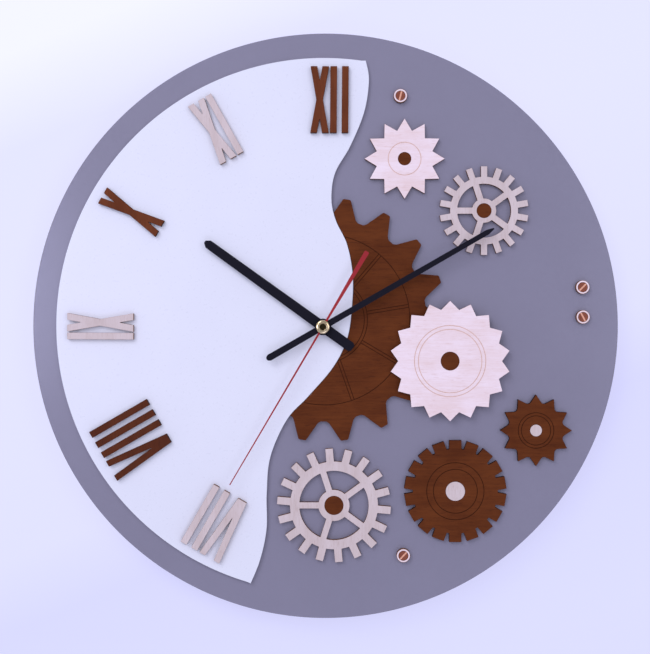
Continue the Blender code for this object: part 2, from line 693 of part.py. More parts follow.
def build_train():
    hour, setting_pinion = meshed_pair(HOUR_TEETH, SETTING_PINION_TEETH, SETTING_REACH,
                                       math.radians(SETTING_DIRECTION))
    setting, cannon = meshed_pair(SETTING_TEETH, CANNON_TEETH, SETTING_REACH,
                                  math.radians(SETTING_DIRECTION + 180))
    centre, third_pinion = meshed_pair(CENTRE_TEETH, THIRD_PINION_TEETH, THIRD_REACH,
                                       math.radians(THIRD_DIRECTION))
    third, second_pinion = meshed_pair(THIRD_TEETH, SECOND_PINION_TEETH, THIRD_REACH,
                                       math.radians(THIRD_DIRECTION + 180))
    second, intermediate_pinion = meshed_pair(SECOND_TEETH, INTERMEDIATE_PINION_TEETH,
                                              INTERMEDIATE_REACH,
                                              math.radians(INTERMEDIATE_DIRECTION))
    intermediate, rotor_pinion = meshed_pair(INTERMEDIATE_TEETH, ROTOR_PINION_TEETH, ROTOR_REACH,
                                             math.radians(ROTOR_DIRECTION))
    build_motion_work(hour, cannon, centre, setting, setting_pinion)

    pinion_end = 6.8
    stack("second_wheel", rear_pivot(COLLAR_R)
          + wheel_on_pinion(COLLAR_R, second, SECOND_LEVEL, second_pinion, pinion_end)
          + [(circle(SECOND_ARBOR_R, 12), pinion_end),
             (circle(SECOND_ARBOR_R, 12), SECOND_ARBOR_END)], WHITE_PLASTIC)

    pinion_end = 10.6
    third_wheel = stack("third_wheel", rear_pivot(COLLAR_R)
                        + wheel_on_pinion(COLLAR_R, third, THIRD_LEVEL, third_pinion, pinion_end)
                        + shouldered(SHAFT_R, pinion_end, FRONT_INNER - 0.3, PIVOT_FRONT),
                        WHITE_PLASTIC)
    place(third_wheel, *THIRD_AXIS)

    pinion_end = 4.6
    intermediate_wheel = stack("intermediate_wheel", rear_pivot(COLLAR_R)
                               + wheel_on_pinion(COLLAR_R, intermediate, INTERMEDIATE_LEVEL,
                                                 intermediate_pinion, pinion_end)
                               + shouldered(SHAFT_R, pinion_end, PLATE_SHOULDER, PLATE_PIVOT_END),
                               WHITE_PLASTIC)
    place(intermediate_wheel, *INTERMEDIATE_AXIS)

    pinion_level, magnet_shaft, magnet = (1.6, 3.2), circle(0.9, 12), circle(2.9)
    rotor = stack("rotor", rear_pivot(SHAFT_R) + [
        (circle(SHAFT_R, 12), pinion_level[0]), (rotor_pinion, pinion_level[0]),
        (rotor_pinion, pinion_level[1]), (magnet_shaft, pinion_level[1]),
        (magnet_shaft, MAGNET_LEVEL[0]), (magnet, MAGNET_LEVEL[0]), (magnet, MAGNET_LEVEL[1]),
    ] + shouldered(0.9, MAGNET_LEVEL[1], PLATE_SHOULDER, PLATE_PIVOT_END), STEEL)
    place(rotor, *ROTOR_AXIS)


# ---------------------------------------------------------------- motor, board and power

def build_motor():
    """The stator plate runs round the rotor and through the coil."""
    left, arm_right, right = -15.0, -2.6, 12.0
    foot, shelf, top = 10.8, 16.8, 24.1
    window = rectangle(-11.0, 8.0, 19.9, 22.5)
    outline = [(left, foot), (arm_right, foot), (arm_right, shelf), (right, shelf), (right, top),
               (left, top)]
    plate("stator", outline, *STATOR_LEVEL, STEEL, holes=[circle(3.4, 24, ROTOR_AXIS), window])
    flange_r, winding_r, bore_r, flange = 2.85, 2.5, 1.25, 0.8
    coil_left, coil_right, coil_z = -10.2, 7.2, (window[2][1] + top) / 2
    coil_profile = [
        (coil_left, flange_r), (coil_left + flange, flange_r), (coil_left + flange, winding_r),
        (coil_right - flange, winding_r), (coil_right - flange, flange_r), (coil_right, flange_r),
        (coil_right, bore_r), (coil_left, bore_r),
    ]
    turned_along_x("coil", coil_profile, sum(STATOR_LEVEL) / 2, coil_z, COPPER, bored=True)


def build_middle_plate():
    """The plate that carries the front pivots of the motor end of the train."""
    half_width, height, foot = 26.6, 19.9, -10.5
    plate("middle_plate", rectangle(-half_width, half_width, foot, height), *MIDDLE_PLATE_LEVEL,
          BLACK_PLASTIC, holes=[
              circle(2.3, 16), circle(2.3, 16, THIRD_AXIS), circle(1.6, 16, SETTING_AXIS),
              circle(PIVOT_HOLE_R, 12, INTERMEDIATE_AXIS), circle(PIVOT_HOLE_R, 12, ROTOR_AXIS),
          ])


def build_circuit_board():
    """The board, with the can of its crystal soldered flat on it."""
    board = plate("circuit_board", rectangle(12.8, 26.4, -10.2, 21.6), *BOARD_LEVEL, GREEN_BOARD)
    can_r, can_ends, can_z = 1.0, (15.0, 21.6), 17.6
    can = turned_along_x("circuit_board_crystal", [(x, can_r) for x in can_ends],
                         BOARD_LEVEL[1] + can_r - 0.2, can_z, STEEL, count=12)
    combine(board, can, "UNION")


def build_battery():
    """The battery's origin is at its own middle."""
    body_end, nub_r = BATTERY_HALF - NUB_LENGTH, 2.7
    battery = turned_along_x("battery", [
        (-BATTERY_HALF, BATTERY_R - 0.7), (0.4 - BATTERY_HALF, BATTERY_R), (body_end - 0.6, BATTERY_R),
        (body_end, BATTERY_R - 0.9), (body_end, nub_r), (BATTERY_HALF, nub_r),
    ], 0.0, 0.0, JACKET, count=32)
    battery.location = (0.0, -BATTERY_DEPTH * MM, BATTERY_Z * MM)


def build_contacts():
    """A sprung leaf at each end of the bay, with a dimple that presses on the battery."""
    leaf_x, leaf_end, dimple_x = 26.2, 26.6, 25.5
    for name, side, dimple_r in (("positive_contact", 1, 3.2), ("negative_contact", -1, 5.2)):
        leaf_sides = sorted((side * leaf_x, side * leaf_end))
        leaf = plate(name, rectangle(*leaf_sides, BATTERY_Z - 6.0, BATTERY_Z + 6.6), 2.6, 12.6, STEEL)
        dimple = turned_along_x(name + "_dimple", [
            (side * dimple_x, dimple_r / 2), (side * (leaf_x + leaf_end) / 2, dimple_r),
        ], BATTERY_DEPTH, BATTERY_Z, STEEL, count=16)
        combine(leaf, dimple, "UNION")


# ---------------------------------------------------------------- build

THIRD_AXIS = polar(THIRD_REACH, THIRD_DIRECTION)
SETTING_AXIS = polar(SETTING_REACH, SETTING_DIRECTION)
INTERMEDIATE_AXIS = polar(INTERMEDIATE_REACH, INTERMEDIATE_DIRECTION)
ROTOR_AXIS = tuple(
    a + b for a, b in zip(INTERMEDIATE_AXIS, polar(ROTOR_REACH, ROTOR_DIRECTION))
)

clear_scene()
GREY_PAINT = finish("grey_paint", (0.24, 0.23, 0.33), 0.55)
WHITE_PAINT = finish("white_paint", (0.86, 0.86, 0.9), 0.35)
BROWN_PLY = finish("brown_ply", (0.11, 0.032, 0.014), 0.5)
CREAM_PLY = finish("cream_ply", (0.76, 0.64, 0.56), 0.6)
BLACK_PAINT = finish("black_paint", (0.012, 0.012, 0.018), 0.4)
RED_PAINT = finish("red_paint", (0.5, 0.02, 0.04), 0.35)
BRASS = finish("brass", (0.78, 0.6, 0.28), 0.25, 1.0)
BLACK_PLASTIC = finish("black_plastic", (0.02, 0.02, 0.022), 0.45)
WHITE_PLASTIC = finish("white_plastic", (0.8, 0.79, 0.75), 0.35)
STEEL = finish("steel", (0.6, 0.6, 0.62), 0.3, 1.0)
COPPER = finish("copper", (0.6, 0.22, 0.08), 0.35, 1.0)
GREEN_BOARD = finish("green_board", (0.02, 0.12, 0.05), 0.5)
JACKET = finish("battery_jacket", (0.05, 0.09, 0.3), 0.3, 0.5)
RUBBER = finish("rubber", (0.025, 0.025, 0.025), 0.8)

build_board()
build_large_gear()
build_trim_gears()
build_decorative_screws()
build_numerals()
build_hands()
build_case_back()
build_case_front()
build_fasteners()
build_train()
build_motor()
build_middle_plate()
build_circuit_board()
build_battery()
build_contacts()
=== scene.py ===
import json
import math

import bmesh
import bpy
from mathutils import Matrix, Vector


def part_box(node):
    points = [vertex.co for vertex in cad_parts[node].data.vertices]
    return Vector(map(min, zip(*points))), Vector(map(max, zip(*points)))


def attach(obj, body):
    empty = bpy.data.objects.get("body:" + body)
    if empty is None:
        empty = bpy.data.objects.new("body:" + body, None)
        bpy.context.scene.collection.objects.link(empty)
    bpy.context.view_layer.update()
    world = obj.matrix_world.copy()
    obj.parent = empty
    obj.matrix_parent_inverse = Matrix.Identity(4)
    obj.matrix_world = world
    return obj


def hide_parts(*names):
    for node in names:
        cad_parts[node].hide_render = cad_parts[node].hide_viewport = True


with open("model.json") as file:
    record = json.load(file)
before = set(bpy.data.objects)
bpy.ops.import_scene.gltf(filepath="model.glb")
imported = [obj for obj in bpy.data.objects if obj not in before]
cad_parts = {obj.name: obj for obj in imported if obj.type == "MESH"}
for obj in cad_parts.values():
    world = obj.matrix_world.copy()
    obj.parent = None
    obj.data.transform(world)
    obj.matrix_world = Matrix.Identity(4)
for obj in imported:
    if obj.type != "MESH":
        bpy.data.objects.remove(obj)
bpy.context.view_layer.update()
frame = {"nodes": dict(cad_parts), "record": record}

# Lengths below are in millimetres. The clock faces -Y, and "depth" is the distance out from the wall.
MM = 0.001
ROOT = "clock"
UP, ACROSS = "z", "x"
FACE, EDGE, CUT = 0, 1, 2
OVERCUT = 1.0

# The camera, and the board's front face, on which it is framed
CAMERA_DISTANCE = 680.0
CAMERA_RIGHT, CAMERA_ABOVE = 6.0, 6.0
AIM_X, AIM_Z = 1.0, -0.14
VIEW_HEIGHT = 335.48

# Board, dial and sheet work
DISC_R = 150.0
DISC_CENTRE = (1.0, 0.2)
DISC_STEPS = 256
RECESS_R, RECESS_DEPTH = 7.8, 1.5
BOARD_HOLE_R = 4.3
DIAL_R = 136.6
DIAL_CENTRE = (0.2, 0.4)
DIAL_HOLE_R = 3.2
CUT_GAP = 0.25
RIM = 0.14
EDGE_STEPS, ARC_STEPS = 12, 200
EDGE_POINTS = (
    (21.8, 135.6), (23.4, 125.6), (21.0, 109.6), (13.9, 92.2), (6.2, 78.6), (4.3, 65.6),
    (6.4, 54.6), (12.2, 42.2), (15.1, 27.1), (14.9, 12.2), (12.5, -5.4), (5.3, -20.4),
    (-7.6, -35.6), (-18.5, -47.5), (-26.9, -66.4), (-28.8, -85.4), (-28.9, -103.4), (-32.2, -119.2),
    (-37.0, -131.3),
)
LARGE_GEAR = (0.8, 3.6)
INNER_RING_R, OUTER_RING_R = 21.9, 43.5
SPOKES, SPOKE_WIDTH, FIRST_SPOKE = 5, 3.2, 36.0
GROOVE_WIDTH = 0.38
GROOVE_DEPTH = 0.15

# Numerals
NUMERAL_CENTRE = (1.2, 0.8)
NUMERAL_HEIGHT = 33.7
STROKE = 3.4
X_WIDTH = 9.4
V_WIDTH = 11.6
V_ARM = 2.6
V_FOOT = 5.0
V_NOTCH = 9.5

# Hands: degrees clockwise from twelve
HOUR_ANGLE, MINUTE_ANGLE, SECOND_ANGLE = 305.8, 60.1, 210.5
HOUR_LENGTH, HOUR_TAIL = 73.8, 18.6
MINUTE_LENGTH, MINUTE_TAIL = 99.7, 32.8
SECOND_LENGTH, SECOND_TAIL = 92.7, 44.1

# Movement case
CASE_HALF = 28.0
CASE_WALL = 1.0
CASE_CORNER = 3.0
BACK_WALL = 1.2
FRONT_FACE, FRONT_INNER = 16.5, 15.3
BUSH_R, BUSH_BORE_R = 4.0, 2.75
DIVIDER = (-11.9, -10.9)
BAY_HALF_LENGTH = 26.6
BAY_FLOOR = -27.4
LOOP_HALF, LOOP_TOP = 8.5, 38.0
EYE_HALF, EYE_TOP, EYE_FLOOR = 4.7, 35.2, 29.8
KNOB_HOLE_R = 6.0
KNURLS = 36

DAYLIGHT = (0.75, 0.77, 1.0)


# ---------------------------------------------------------------- places, from the frame

def depths(node):
    """The back and front of a CAD node."""
    low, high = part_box(node)
    return -high.y / MM, -low.y / MM


def centre(node):
    """The middle of a CAD node, on the face."""
    low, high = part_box(node)
    return (low.x + high.x) / 2 / MM, (low.z + high.z) / 2 / MM


def half_width(node):
    low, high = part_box(node)
    return (high.x - low.x) / 2 / MM


# ---------------------------------------------------------------- outlines, as lists of (x, z)

def circle(radius, count=96, middle=(0.0, 0.0)):
    step = 2 * math.pi / count
    return [
        (middle[0] + radius * math.cos(i * step), middle[1] + radius * math.sin(i * step))
        for i in range(count)
    ]


def polar(radius, degrees):
    angle = math.radians(degrees)
    return radius * math.cos(angle), radius * math.sin(angle)


def placed(points, x, z, clockwise=0.0):
    """An outline moved to (x, z) and turned clockwise, as seen from the front."""
    angle = math.radians(clockwise)
    c, s = math.cos(angle), math.sin(angle)
    return [(x + u * c + v * s, z - u * s + v * c) for u, v in points]


def toothed(count, first, tooth, valley=()):
    """Repeats a tooth, and a valley, round a circle. Both are points (across, radius)."""
    points = []
    for i in range(count):
        for half_steps, profile in ((2 * i, tooth), (2 * i + 1, valley)):
            angle = math.radians(first + half_steps * 180.0 / count)
            for across, radius in profile:
                points.append((
                    radius * math.cos(angle) - across * math.sin(angle),
                    radius * math.sin(angle) + across * math.cos(angle),
                ))
    return points


def rounded(points, radius, steps=4):
    """An outline with its corners turned into arcs, as far as its sides leave room for them."""
    out = []
    for i, point in enumerate(points):
        here = Vector(point)
        before = Vector(points[i - 1]) - here
        after = Vector(points[(i + 1) % len(points)]) - here
        turn = math.pi - before.angle(after)
        if turn < math.radians(12.0):
            out.append(point)
            continue
        reach = min(radius * math.tan(turn / 2), before.length * 0.45, after.length * 0.45)
        start, end = here + before.normalized() * reach, here + after.normalized() * reach
        for k in range(steps + 1):
            t = k / steps
            spot = start * (1 - t) ** 2 + here * 2 * t * (1 - t) + end * t * t
            out.append((spot.x, spot.y))
    return out


def smooth_run(points, steps):
    """A Catmull-Rom curve through the points."""
    run = []
    for i in range(len(points) - 1):
        before = points[max(i - 1, 0)]
        start, end = points[i], points[i + 1]
        after = points[min(i + 2, len(points) - 1)]
        for k in range(steps):
            t = k / steps
            run.append(tuple(
                0.5 * (2 * p1 + (p2 - p0) * t + (2 * p0 - 5 * p1 + 4 * p2 - p3) * t * t
                       + (3 * p1 - p0 - 3 * p2 + p3) * t ** 3)
                for p0, p1, p2, p3 in zip(before, start, end, after)
            ))
    run.append(points[-1])
    return run


def rounded_square(half, corner):
    steps = 8
    points = []
    for quarter in range(4):
        along_x = 1 if quarter in (0, 3) else -1
        along_z = 1 if quarter in (0, 1) else -1
        for i in range(steps + 1):
            angle = math.radians(90 * (quarter + i / steps))
            points.append((
                along_x * (half - corner) + corner * math.cos(angle),
                along_z * (half - corner) + corner * math.sin(angle),
            ))
    return points


def rectangle(x0, x1, z0, z1):
    return [(x0, z0), (x1, z0), (x1, z1), (x0, z1)]


# ---------------------------------------------------------------- mesh work

def add_loop(mesh, outline, depth):
    """A closed loop of edges at a depth."""
    verts = [mesh.verts.new((x * MM, -depth * MM, z * MM)) for x, z in outline]
    for i, vert in enumerate(verts):
        mesh.edges.new((vert, verts[(i + 1) % len(verts)]))
    return verts


def loop_edges(mesh, verts):
    return [mesh.edges.get((vert, verts[(i + 1) % len(verts)])) for i, vert in enumerate(verts)]


def is_cap(face):
    return abs(face.normal.y) > 0.95


def ease_rims(mesh, width, segments=2):
    """Rounds the edges between the flat faces and the sides."""
    rims = []
    for edge in mesh.edges:
        if len(edge.link_faces) == 2 and sum(is_cap(face) for face in edge.link_faces) == 1:
            rims.append(edge)
    bmesh.ops.bevel(mesh, geom=rims, offset=width * MM, offset_type="OFFSET", segments=segments,
                    profile=0.5, affect="EDGES", clamp_overlap=True)


def slab(outline, back, front, holes=()):
    """A flat piece with through holes and square edges."""
    mesh = bmesh.new()
    edges = []
    for loop in (outline, *holes):
        edges += loop_edges(mesh, add_loop(mesh, loop, back))
    bmesh.ops.triangle_fill(mesh, use_beauty=True, use_dissolve=False, edges=edges)
    raised = bmesh.ops.extrude_face_region(mesh, geom=mesh.faces[:])["geom"]
    verts = [item for item in raised if isinstance(item, bmesh.types.BMVert)]
    bmesh.ops.translate(mesh, vec=(0.0, (back - front) * MM, 0.0), verts=verts)
    bmesh.ops.recalc_face_normals(mesh, faces=mesh.faces)
    return mesh


def join_loops(mesh, first, second):
    """Faces between two loops: quads where their points match, and triangles otherwise."""
    if len(first) == len(second):
        for i, vert in enumerate(first):
            k = (i + 1) % len(first)
            mesh.faces.new((vert, first[k], second[k], second[i]))
    else:
        edges = loop_edges(mesh, first) + loop_edges(mesh, second)
        bmesh.ops.triangle_fill(mesh, use_beauty=True, use_dissolve=False, edges=edges)


def stack(levels, bored=False):
    """A solid whose surface passes through a row of levels, each an outline and its depth."""
    mesh = bmesh.new()
    loops = [add_loop(mesh, outline, depth) for outline, depth in levels]
    for first, second in zip(loops, loops[1:]):
        join_loops(mesh, first, second)
    if bored:
        join_loops(mesh, loops[-1], loops[0])
    else:
        mesh.faces.new(loops[0])
        mesh.faces.new(loops[-1])
    bmesh.ops.recalc_face_normals(mesh, faces=mesh.faces)
    return mesh


def turned(profile, bored=False, count=72, middle=(0.0, 0.0)):
    """A turned solid whose axis points at the viewer. The profile is points (radius, depth)."""
    return stack([(circle(radius, count, middle), depth) for radius, depth in profile], bored)


def turned_along_x(profile, centre_depth, centre_z):
    """A turned solid whose axis is parallel to X. The profile is points (x, radius)."""
    mesh = bmesh.new()
    loops = [
        [mesh.verts.new((x * MM, (u - centre_depth) * MM, (v + centre_z) * MM))
         for u, v in circle(radius, 64)]
        for x, radius in profile
    ]
    for first, second in zip(loops, loops[1:]):
        join_loops(mesh, first, second)
    mesh.faces.new(loops[0])
    mesh.faces.new(loops[-1])
    bmesh.ops.recalc_face_normals(mesh, faces=mesh.faces)
    return mesh


def mark(mesh, index):
    for face in mesh.faces:
        face.material_index = index
    return mesh


def mark_sides(mesh):
    """The flat faces get the face's material and everything else the edge's."""
    for face in mesh.faces:
        face.material_index = FACE if is_cap(face) else EDGE
    return mesh


def merged(meshes):
    """Several bmeshes as one."""
    whole = bmesh.new()
    for mesh in meshes:
        data = bpy.data.meshes.new("part")
        mesh.to_mesh(data)
        mesh.free()
        whole.from_mesh(data)
        bpy.data.meshes.remove(data)
    return whole


def combined(mesh, tool, operation):
    """Cuts a tool from a mesh, or joins it on, and keeps each face's material."""
    objects = []
    for part in (mesh, tool):
        data = bpy.data.meshes.new("part")
        part.to_mesh(data)
        part.free()
        for material in (None, None, None):
            data.materials.append(material)
        obj = bpy.data.objects.new("part", data)
        bpy.context.scene.collection.objects.link(obj)
        objects.append(obj)
    modifier = objects[0].modifiers.new("combine", "BOOLEAN")
    modifier.operation = operation
    modifier.object = objects[1]
    graph = bpy.context.evaluated_depsgraph_get()
    result = bmesh.new()
    result.from_mesh(objects[0].evaluated_get(graph).to_mesh())
    for obj in objects:
        data = obj.data
        bpy.data.objects.remove(obj)
        bpy.data.meshes.remove(data)
    return result


def add_piece(name, mesh, materials, body, nodes=()):
    """Makes a bmesh a piece that rides on a body, in place of these CAD nodes."""
    data = bpy.data.meshes.new(name)
    mesh.to_mesh(data)
    mesh.free()
    for material in materials:
        data.materials.append(material)
    data.shade_smooth()
    data.set_sharp_from_angle(angle=math.radians(20.0))
    obj = bpy.data.objects.new(name, data)
    bpy.context.scene.collection.objects.link(obj)
    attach(obj, body)
    if nodes:
        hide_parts(*nodes)
    return obj


# ---------------------------------------------------------------- material nodes

def add_node(tree, kind, inputs=None, **settings):
    """A shader node. Its inputs are values, or sockets to link."""
    node = tree.nodes.new(kind)
    for key, value in settings.items():
        setattr(node, key, value)
    for key, value in (inputs or {}).items():
        if isinstance(value, bpy.types.NodeSocket):
            tree.links.new(value, node.inputs[key])
        else:
            node.inputs[key].default_value = value
    return node


def new_material(name, roughness, metallic=0.0, coat=0.0, specular=0.5):
    material = bpy.data.materials.new(name)
    material.use_nodes = True
    tree = material.node_tree
    shader = tree.nodes["Principled BSDF"]
    shader.inputs["Roughness"].default_value = roughness
    shader.inputs["Metallic"].default_value = metallic
    shader.inputs["Coat Weight"].default_value = coat
    shader.inputs["Specular IOR Level"].default_value = specular
    return material, tree, shader


def noise(tree, stretch, detail, roughness, offset=(0.0, 0.0, 0.0)):
    """Noise with this many features per metre along each axis."""
    place = add_node(tree, "ShaderNodeTexCoord")
    scaled = add_node(tree, "ShaderNodeMapping", {
        "Vector": place.outputs["Object"], "Scale": stretch, "Location": offset,
    })
    return add_node(tree, "ShaderNodeTexNoise", {
        "Vector": scaled.outputs["Vector"], "Scale": 1.0, "Detail": detail, "Roughness": roughness,
    }).outputs["Fac"]


def ramp(tree, value, stops):
    """Colours, or greys, along a value."""
    node = add_node(tree, "ShaderNodeValToRGB", {"Fac": value})
    elements = node.color_ramp.elements
    while len(elements) < len(stops):
        elements.new(0.5)
    for element, (position, colour) in zip(elements, stops):
        element.position = position
        element.color = (*colour, 1.0) if isinstance(colour, tuple) else (colour, colour, colour, 1.0)
    return node.outputs["Color"]


def mix(tree, factor, first, second, blend_type="MIX"):
    node = add_node(tree, "ShaderNodeMix", data_type="RGBA", blend_type=blend_type)
    for key, value in ((0, factor), (6, first), (7, second)):
        if isinstance(value, bpy.types.NodeSocket):
            tree.links.new(value, node.inputs[key])
        else:
            node.inputs[key].default_value = (*value, 1.0) if isinstance(value, tuple) else value
    return node.outputs[2]


def bump(tree, shader, height, distance, strength):
    """Raises the surface by a height of 0 to 1, times a distance in millimetres."""
    node = add_node(tree, "ShaderNodeBump", {
        "Height": height, "Distance": distance * MM, "Strength": strength,
    })
    tree.links.new(node.outputs["Normal"], shader.inputs["Normal"])


def grain_scale(direction, along, across):
    """Features per metre along and across the grain, and through the sheet."""
    return (along, across, across) if direction == ACROSS else (across, across, along)


def wood_face(name, pale, dark, direction, fleck, streak, roughness=0.6):
    """Veneer: long fibres, broad soft bands, a wavering figure and short flecks along the grain."""
    material, tree, shader = new_material(name, roughness, specular=0.08)
    fibres = noise(tree, grain_scale(direction, 70.0, 1100.0), 6.0, 0.7)
    bands = noise(tree, grain_scale(direction, 16.0, 150.0), 4.0, 0.55, (3.0, 5.0, 7.0))
    figure = noise(tree, grain_scale(direction, 42.0, 75.0), 5.0, 0.65, (1.0, 2.0, 9.0))
    flecks = noise(tree, grain_scale(direction, 260.0, 1500.0), 2.0, 0.5, (11.0, 0.0, 4.0))
    fibre_tone = ramp(tree, fibres, ((0.36, 0.0), (0.62, 1.0)))
    band_tone = ramp(tree, bands, ((0.38, 0.0), (0.62, 1.0)))
    figure_tone = ramp(tree, figure, ((0.38, 0.0), (0.60, 1.0)))
    tone = mix(tree, streak, figure_tone, mix(tree, 0.4, fibre_tone, band_tone))
    colour = mix(tree, tone, dark, pale)
    spots = ramp(tree, flecks, ((0.58, 0.0), (0.74, 0.35)))
    colour = mix(tree, spots, colour, fleck)
    tree.links.new(colour, shader.inputs["Base Color"])
    shine = ramp(tree, fibres, ((0.2, roughness - 0.07), (0.8, roughness + 0.1)))
    tree.links.new(shine, shader.inputs["Roughness"])
    bump(tree, shader, fibre_tone, 0.03, 0.6)
    return material


def wood_edge(name, char, warm):
    """A laser-cut edge: charred plies, the glue lines between them, and streaks from the beam."""
    material, tree, shader = new_material(name, 0.75, specular=0.1)
    place = add_node(tree, "ShaderNodeTexCoord")
    plies = add_node(tree, "ShaderNodeTexWave", {
        "Vector": place.outputs["Object"], "Scale": 160.0, "Distortion": 1.2, "Detail": 2.0,
        "Detail Scale": 4.0,
    }, bands_direction="Y")
    streaks = noise(tree, (1500.0, 90.0, 1500.0), 3.0, 0.6)
    tone = mix(tree, 0.55, ramp(tree, plies.outputs["Fac"], ((0.2, 0.0), (0.9, 1.0))),
               ramp(tree, streaks, ((0.3, 0.0), (0.7, 1.0))))
    tree.links.new(mix(tree, tone, char, warm), shader.inputs["Base Color"])
    bump(tree, shader, streaks, 0.05, 0.7)
    return material


def scorch(name, colour, deep):
    """The floor of a laser-engraved line."""
    material, tree, shader = new_material(name, 0.8, specular=0.05)
    specks = noise(tree, (1800.0, 1800.0, 1800.0), 4.0, 0.6)
    tone = ramp(tree, specks, ((0.3, 0.0), (0.7, 1.0)))
    tree.links.new(mix(tree, tone, deep, colour), shader.inputs["Base Color"])
    bump(tree, shader, specks, 0.04, 0.8)
    return material


def paint(name, colour, shade, roughness, peel, specular=0.5):
    """Sprayed paint: a fine orange peel, faint clouding and a few trapped specks."""
    material, tree, shader = new_material(name, roughness, specular=specular)
    clouds = noise(tree, (22.0, 22.0, 22.0), 4.0, 0.6)
    skin = noise(tree, (750.0, 750.0, 750.0), 2.0, 0.5, (5.0, 5.0, 5.0))
    dust = noise(tree, (2600.0, 2600.0, 2600.0), 2.0, 0.5, (9.0, 1.0, 3.0))
    tone = ramp(tree, clouds, ((0.32, 0.0), (0.68, 1.0)))
    grains = ramp(tree, dust, ((0.3, 0.0), (0.7, 1.0)))
    tree.links.new(mix(tree, mix(tree, 0.3, tone, grains), shade, colour),
                   shader.inputs["Base Color"])
    shine = ramp(tree, skin, ((0.25, roughness - 0.05), (0.75, roughness + 0.07)))
    tree.links.new(shine, shader.inputs["Roughness"])
    bump(tree, shader, mix(tree, 0.35, skin, dust), peel, 0.7)
    return material


def plastic(name, colour, shade, roughness, texture=0.02, scale=2400.0):
    """Moulded plastic with a fine spark-eroded texture."""
    material, tree, shader = new_material(name, roughness)
    cells = noise(tree, (scale, scale, scale), 3.0, 0.55)
    flow = noise(tree, (60.0, 60.0, 60.0), 3.0, 0.5, (4.0, 4.0, 4.0))
    tone = ramp(tree, flow, ((0.3, 0.0), (0.7, 1.0)))
    tree.links.new(mix(tree, tone, shade, colour), shader.inputs["Base Color"])
    shine = ramp(tree, flow, ((0.3, roughness - 0.06), (0.7, roughness + 0.06)))
    tree.links.new(shine, shader.inputs["Roughness"])
    bump(tree, shader, cells, texture, 0.6)
    return material


def metal(name, colour, shade, roughness, stretch=(300.0, 300.0, 4000.0), depth=0.004):
    """Metal with fine lines in one direction and slight tarnish."""
    material, tree, shader = new_material(name, roughness, metallic=1.0)
    lines = noise(tree, stretch, 3.0, 0.6)
    stain = noise(tree, (180.0, 180.0, 180.0), 4.0, 0.6, (2.0, 6.0, 1.0))
    tone = ramp(tree, stain, ((0.35, 0.0), (0.65, 1.0)))
    tree.links.new(mix(tree, tone, shade, colour), shader.inputs["Base Color"])
    shine = ramp(tree, lines, ((0.2, roughness * 0.8), (0.8, roughness * 1.3)))
    tree.links.new(shine, shader.inputs["Roughness"])
    bump(tree, shader, lines, depth, 0.6)
    return material


def jacket(name, main, band, half_length):
    """A printed battery sleeve in two plain colours, with a paler line between them."""
    material, tree, shader = new_material(name, 0.28, metallic=0.6, coat=0.5)
    place = add_node(tree, "ShaderNodeTexCoord")
    along = add_node(tree, "ShaderNodeSeparateXYZ", {"Vector": place.outputs["Object"]})
    share = add_node(tree, "ShaderNodeMapRange", {
        "Value": along.outputs["X"], "From Min": -half_length * MM, "From Max": half_length * MM,
    })
    line = (0.75, 0.75, 0.78)
    printed = ramp(tree, share.outputs["Result"], ((0.0, main), (0.69, line), (0.705, band)))
    tree.nodes[-1].color_ramp.interpolation = "CONSTANT"
    film = noise(tree, (500.0, 500.0, 500.0), 3.0, 0.5)
    tone = ramp(tree, film, ((0.3, 0.88), (0.7, 1.0)))
    tree.links.new(mix(tree, 1.0, printed, tone, "MULTIPLY"), shader.inputs["Base Color"])
    bump(tree, shader, film, 0.01, 0.5)
    return material


CREAM_FACE = wood_face("cream_ply_pale", (0.97, 0.815, 0.775), (0.85, 0.64, 0.55), ACROSS,
                       (0.72, 0.49, 0.39), 0.6)
TAN_FACE = wood_face("cream_ply_tan", (0.72, 0.60, 0.53), (0.60, 0.475, 0.40), UP,
                     (0.47, 0.33, 0.25), 0.55)
BROWN_FACE = wood_face("brown_ply_dark", (0.150, 0.0385, 0.0080), (0.082, 0.018, 0.0035), ACROSS,
                       (0.040, 0.009, 0.003), 0.6)
RUSSET_FACE = wood_face("brown_ply_russet", (0.185, 0.050, 0.016), (0.115, 0.028, 0.008), UP,
                        (0.065, 0.016, 0.006), 0.6)
UMBER_FACE = wood_face("brown_ply_umber", (0.122, 0.031, 0.010), (0.076, 0.018, 0.006), UP,
                       (0.035, 0.009, 0.004), 0.6)
SIENNA_FACE = wood_face("brown_ply_sienna", (0.29, 0.092, 0.050), (0.215, 0.062, 0.032), UP,
                        (0.14, 0.035, 0.014), 0.6)
CREAM_EDGE = wood_edge("cream_ply_edge", (0.10, 0.042, 0.02), (0.34, 0.17, 0.09))
BROWN_EDGE = wood_edge("brown_ply_edge", (0.018, 0.007, 0.004), (0.06, 0.02, 0.01))
CREAM_CUT = scorch("cream_ply_engraving", (0.80, 0.56, 0.42), (0.68, 0.44, 0.30))
BROWN_CUT = scorch("brown_ply_engraving", (0.062, 0.016, 0.005), (0.034, 0.009, 0.003))
SLOT_CUT = scorch("slot_engraving", (0.88, 0.50, 0.32), (0.70, 0.36, 0.21))
GREY_PAINT = paint("grey_paint", (0.252, 0.233, 0.272), (0.236, 0.218, 0.255), 0.2, 0.003)
BOARD_BACK = wood_face("board_back", (0.42, 0.27, 0.15), (0.31, 0.19, 0.10), ACROSS,
                       (0.2, 0.11, 0.06), 0.4, 0.8)
WHITE_PAINT = paint("white_paint", (0.83, 0.82, 0.80), (0.80, 0.79, 0.775), 0.3, 0.004)
BLACK_PAINT = paint("black_paint", (0.0085, 0.0075, 0.012), (0.006, 0.005, 0.009), 0.4, 0.006, 0.1)
RED_PAINT = paint("red_paint", (0.37, 0.021, 0.023), (0.31, 0.017, 0.018), 0.4, 0.005, 0.2)
